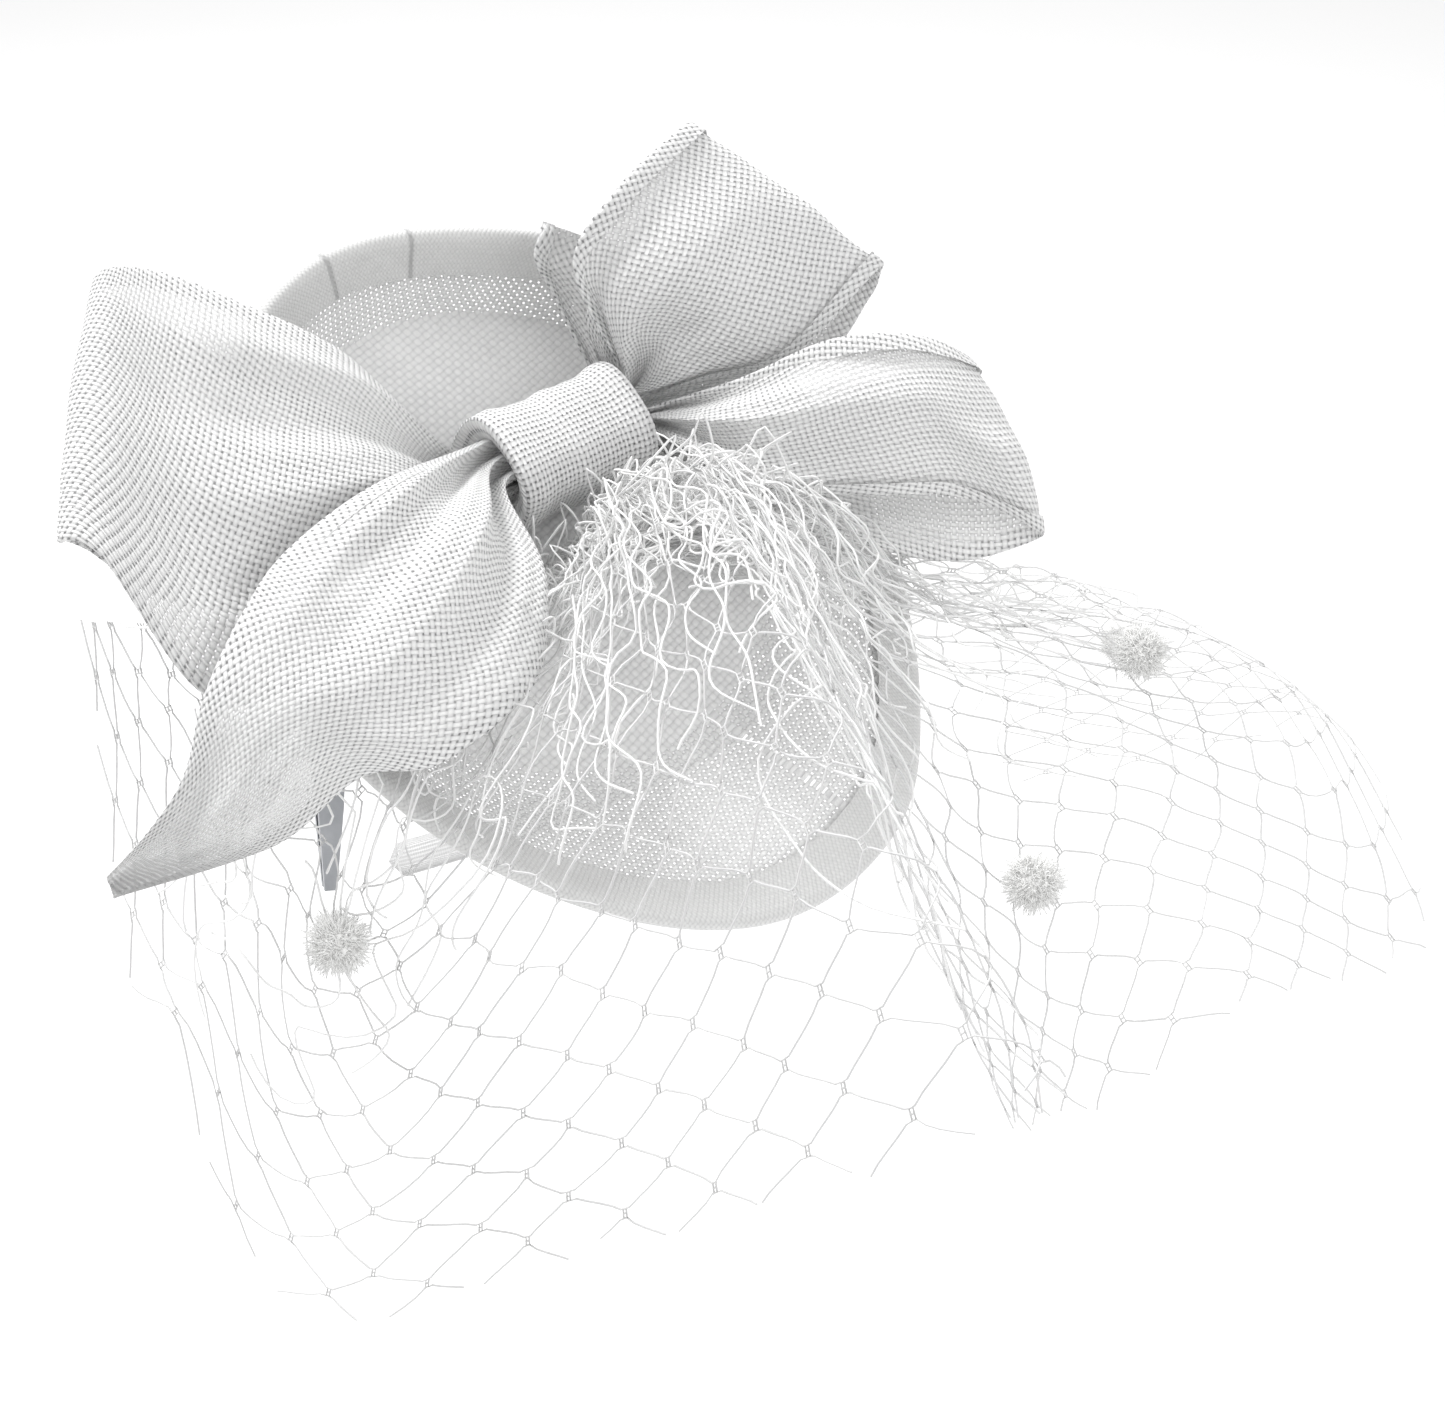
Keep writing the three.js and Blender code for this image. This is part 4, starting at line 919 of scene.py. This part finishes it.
def gatherLoops(count):
    # slack loops that stand over the gather
    r = np.random.default_rng(12)
    lines = []
    for k in range(count):
        u, v = r.uniform(0.02, 0.9), r.uniform(0.02, 0.22)
        start, end = netSpot(u, v), netSpot(u + r.uniform(-0.09, 0.12), v + r.uniform(-0.04, 0.1))
        middle, rise = (start + end) / 2, r.uniform(3, 10)
        way = r.normal(0, 3.5, 3)
        arch = [start, start * 0.6 + middle * 0.4 + (0, 0, rise), middle + way + (0, 0, rise * 1.3),
                end * 0.6 + middle * 0.4 + (0, 0, rise * 0.8), end]
        lines.append(splineAt(arch, np.linspace(0, 1, 15)))
    return lines


def looseStrands(count, rows, vEnd, seed, lift, wander, span=(0, 1), vStart=0):
    # strands of the gathered under layer: long, smooth and uneven
    r = np.random.default_rng(seed)
    lines = []
    for k in range(count):
        swing = 0.5 / count * np.where((np.arange(rows + 1) + k) % 2 == 0, 1, -1)
        drift = np.cumsum(r.normal(0, wander, rows + 1)) / count
        u = (k + 0.5) / count + swing + drift
        v = np.linspace(vStart, vEnd * r.uniform(0.75, 1), rows + 1) + r.normal(0, 0.006, rows + 1)
        knots = np.stack([span[0] + u * (span[1] - span[0]), np.maximum(v, 0)], 1)
        path = splineAt(knots, np.linspace(0, 1, rows * 6 + 1))
        rise = lift * r.uniform(0.3, 1.3) * np.sin(np.linspace(0, math.pi, len(path))) ** 0.5
        lines.append(netSpot(path[:, 0], path[:, 1], rise, seed))
    return lines


# count, rows, lowest end, seed, lift in mm, wander, and for a few the span across and the start
layers = [(62, 11, 0.66, 8, -2.2, 0.55), (46, 9, 0.52, 15, 4.5, 0.8), (30, 7, 0.4, 19, 8.0, 1.0),
          (12, 8, 0.9, 27, -3.0, 2.2, (0, 0.14), 0.3), (10, 7, 0.9, 33, 2.5, 1.6, (0.46, 0.6), 0.4)]
loose = [line for layer in layers for line in looseStrands(*layer)] + gatherLoops(120)
innerNet = tubeSteps("gathered tube", gatherThread).build(threadMesh("veilUnderlay", loose),
                                                          {"Radius": veil["thread"] * 0.0011, "Sides": 4})
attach(innerNet, hatBody)
print("veil ready", len(outerNet.data.polygons), len(rungs.data.polygons), len(innerNet.data.polygons))

# chenille dots: a pile of short fibres on each head
dotPile = {"fibres": 1000, "length": 3.4, "thick": 0.2, "core": 0.74, "fullRadius": 0.005, "tuft": 0.22}


def pileSteps():
    inputs = {"Fibres": ("NodeSocketInt", 500), "Length": ("NodeSocketFloat", 0.002),
              "Thickness": ("NodeSocketFloat", 0.0001), "Seed": ("NodeSocketInt", 3)}
    s = Steps("chenille pile", inputs, chenillePile)
    head = s.given("Geometry")
    area = s.node("GeometryNodeAttributeStatistic", {"data_type": "FLOAT", "domain": "FACE"})
    scatter = s.node("GeometryNodeDistributePointsOnFaces", Mesh=head, Seed=s.given("Seed"))
    density = s.node("ShaderNodeMath", {"operation": "DIVIDE"})
    s.tree.links.new(s.given("Fibres"), density.inputs[0])
    faceArea = s.node("GeometryNodeInputMeshFaceArea").outputs[0]
    s.tree.links.new(head, area.inputs[0])
    s.tree.links.new(faceArea, area.inputs["Attribute"])
    s.tree.links.new(area.outputs["Sum"], density.inputs[1])
    s.tree.links.new(density.outputs[0], scatter.inputs["Density"])
    fibre = s.node("GeometryNodeMeshCone", Vertices=3, Radius_Bottom=s.given("Thickness"),
                   Depth=s.given("Length"))
    size = s.node("FunctionNodeRandomValue", {"data_type": "FLOAT_VECTOR"})
    size.inputs[0].default_value = (0.8, 0.8, 0.45)
    size.inputs[1].default_value = (1.2, 1.2, 1.25)
    lean = s.node("FunctionNodeRandomValue", {"data_type": "FLOAT_VECTOR"})
    lean.inputs[0].default_value = (-0.5, -0.5, -3)
    lean.inputs[1].default_value = (0.5, 0.5, 3)
    turned = s.node("FunctionNodeRotateEuler", {"rotation_type": "EULER", "space": "LOCAL"})
    s.tree.links.new(scatter.outputs["Rotation"], turned.inputs[0])
    s.tree.links.new(lean.outputs[0], turned.inputs[1])
    fibres = s.node("GeometryNodeInstanceOnPoints", Points=scatter.outputs[0], Instance=fibre.outputs[0],
                    Rotation=turned.outputs[0], Scale=size.outputs[0])
    both = s.node("GeometryNodeJoinGeometry")
    s.tree.links.new(head, both.inputs[0])
    s.tree.links.new(fibres.outputs[0], both.inputs[0])
    s.finish(both.outputs[0])
    return s


pile = pileSteps()
for k in range(4):
    node = f"veil_dot_{k + 1}"
    low, high = (Vector(c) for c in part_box(node))
    radius = (high - low).x / 2
    bpy.ops.mesh.primitive_ico_sphere_add(subdivisions=3, radius=radius * dotPile["core"])
    head = bpy.context.object
    head.name = f"chenilleDot{k + 1}"
    head.data.transform(Matrix.Translation((low + high) / 2))
    for vert in head.data.vertices:
        spot = vert.co - (low + high) / 2
        vert.co += (spot * dotPile["tuft"] * math.sin(spot.x * 2600) * math.sin(spot.y * 2300 + k)
                    * math.sin(spot.z * 2500))
    dot = pile.build(head, {"Fibres": int(dotPile["fibres"] * (radius / dotPile["fullRadius"]) ** 2),
                            "Length": dotPile["length"] * 0.001 * radius / dotPile["fullRadius"],
                            "Thickness": dotPile["thick"] * 0.001, "Seed": k + 3})
    settle(dot, [node])
print("dots ready")

# headband: a covered strip with rounded edges
band = {"radius": 61.4, "leg": 90, "curl": 38.3, "width": 9.5, "wall": 2.4, "x": 23.1, "y": 4.9,
        "turn": 144.3, "roll": 25.7, "gap": 0.35, "endRound": 4.5}


def bandPiece(around=20):
    line = [(math.sin(a) * band["radius"], math.cos(a) * band["radius"])
            for a in np.radians(np.linspace(-90, 90, 61))]
    steps, (side, low) = 34, line[-1]
    for i in range(1, steps + 1):
        lean = math.radians(band["curl"] * (i - 0.5)) / steps
        side -= math.sin(lean) * band["leg"] / steps
        low -= math.cos(lean) * band["leg"] / steps
        line.append((side, low))
        line.insert(0, (-side, low))
    line = np.array(line)
    run = arcLength(line)
    tangent = np.gradient(line, axis=0)
    tangent /= np.linalg.norm(tangent, axis=1, keepdims=True)
    outward = np.stack([-tangent[:, 1], tangent[:, 0]], 1)
    fromEnd = np.minimum(run, run[-1] - run)
    taper = np.sqrt(np.clip(1 - (1 - np.clip(fromEnd / band["endRound"], 0, 1)) ** 2, 0.0025, 1))
    angle = np.arange(around) / around * 2 * math.pi
    across = squareOff(np.cos(angle), 0.55) * band["width"] / 2
    up = squareOff(np.sin(angle), 0.8) * band["wall"] / 2
    rows = []
    for k in range(len(line)):
        flat = line[k][None] + outward[k][None] * (up * (0.35 + 0.65 * taper[k]))[:, None]
        rows.append(np.stack([across * taper[k], flat[:, 0], flat[:, 1]], 1))
    grid = np.stack(rows, 1)
    roll = np.array(Matrix.Rotation(math.radians(band["roll"]), 3, "X"))
    turn = np.array(Matrix.Rotation(math.radians(band["turn"]), 3, "Z"))
    seat = -band["radius"] - band["wall"] / 2 - band["gap"]
    grid = grid @ roll.T @ turn.T + np.array([band["x"], band["y"], seat])
    uv = np.stack([np.repeat((angle * 3.4)[:, None], len(line), 1), np.repeat(run[None], around, 0)], -1)
    return sheetPiece("coveredBand", grid, uv, satinBand, wrap=True)


coveredBand = bandPiece()
settle(coveredBand, ["headband"])
for node in ("hair_clip_upper_jaw", "hair_clip_lower_jaw"):
    steel = bpy.data.objects[node]
    finish = steelFinish(node)
    for place in steel.material_slots:
        place.material = finish
print("band and clip ready")

# stitches along the rim ribbon
stitch = {"length": 1.9, "thick": 0.45, "step": 3.4, "fromEdge": 1.3, "proud": 0.25}


def stitchSteps():
    inputs = {"Length": ("NodeSocketFloat", 0.0018), "Thickness": ("NodeSocketFloat", 0.0002),
              "Step": ("NodeSocketFloat", 0.0034)}
    s = Steps("running stitch", inputs, veilThread)
    curve = s.node("GeometryNodeMeshToCurve", Mesh=s.given("Geometry")).outputs[0]
    spots = s.node("GeometryNodeResampleCurve", {"mode": "LENGTH"}, Curve=curve, Length=s.given("Step"))
    tangent = s.node("GeometryNodeInputTangent").outputs[0]
    aim = s.node("FunctionNodeAlignEulerToVector", {"axis": "Z"}, Vector=tangent)
    bead = s.node("GeometryNodeMeshUVSphere", Segments=6, Rings=4, Radius=0.5)
    size = s.node("ShaderNodeCombineXYZ", X=s.given("Thickness"), Y=s.given("Thickness"),
                  Z=s.given("Length"))
    laid = s.node("GeometryNodeInstanceOnPoints", Points=spots.outputs[0], Instance=bead.outputs[0],
                  Rotation=aim.outputs[0], Scale=size.outputs[0])
    s.finish(laid.outputs[0])
    return s


share = np.linspace(0, 1, 361)
rim, down, inward = bindingFrame(share % 1)
proud = binding["side"] + stitch["proud"]
stitchLine = rim + down * (binding["width"] - stitch["fromEdge"]) + inward * proud
stitches = stitchSteps().build(threadMesh("rimStitches", [stitchLine]),
                               {"Length": stitch["length"] * 0.001, "Thickness": stitch["thick"] * 0.001,
                                "Step": stitch["step"] * 0.001})
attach(stitches, hatBody)
print("stitches ready", len(stitches.data.polygons))

# floor and light
stageLook = {"floor": -0.32, "size": 6.0, "sky": 0.77}
bpy.ops.mesh.primitive_plane_add(size=stageLook["size"], location=(0, 0, stageLook["floor"]))
floor = bpy.context.object
floor.name = "paleFloor"
paper = Finish("pale floor", {"Roughness": 0.9, "Emission Color": (1, 1, 1, 1), "Emission Strength": 0.1})
paperGrain = paper.noise(paper.place("Object"), 3.0)
paper.set("Base Color", paper.shade(paperGrain, (0.89, 0.89, 0.89), (0.91, 0.91, 0.91)))
floor.data.materials.append(paper.material)


def softLight(name, spot, aim, size, power):
    lamp = bpy.data.lights.new(name, "AREA")
    lamp.energy, lamp.size = power, size
    holder = bpy.data.objects.new(name, lamp)
    holder.location = spot
    holder.rotation_euler = (Vector(aim) - Vector(spot)).to_track_quat("-Z", "Y").to_euler()
    scene.collection.objects.link(holder)


softLight("keyLight", (-0.5, 0.3, 0.9), (0, 0, 0), 0.35, 10)
softLight("fillLight", (0.9, -0.7, 0.6), (0, 0, 0), 0.9, 3.5)
softLight("backLight", (0.1, 0.9, 0.9), (0, 0, 0), 0.8, 3)
world = bpy.data.worlds.new("studio")
world.use_nodes = True
world.node_tree.nodes["Background"].inputs[0].default_value = (1, 1, 1, 1)
world.node_tree.nodes["Background"].inputs[1].default_value = stageLook["sky"]
scene.world = world
scene.view_settings.view_transform = "Standard"
print("stage ready")
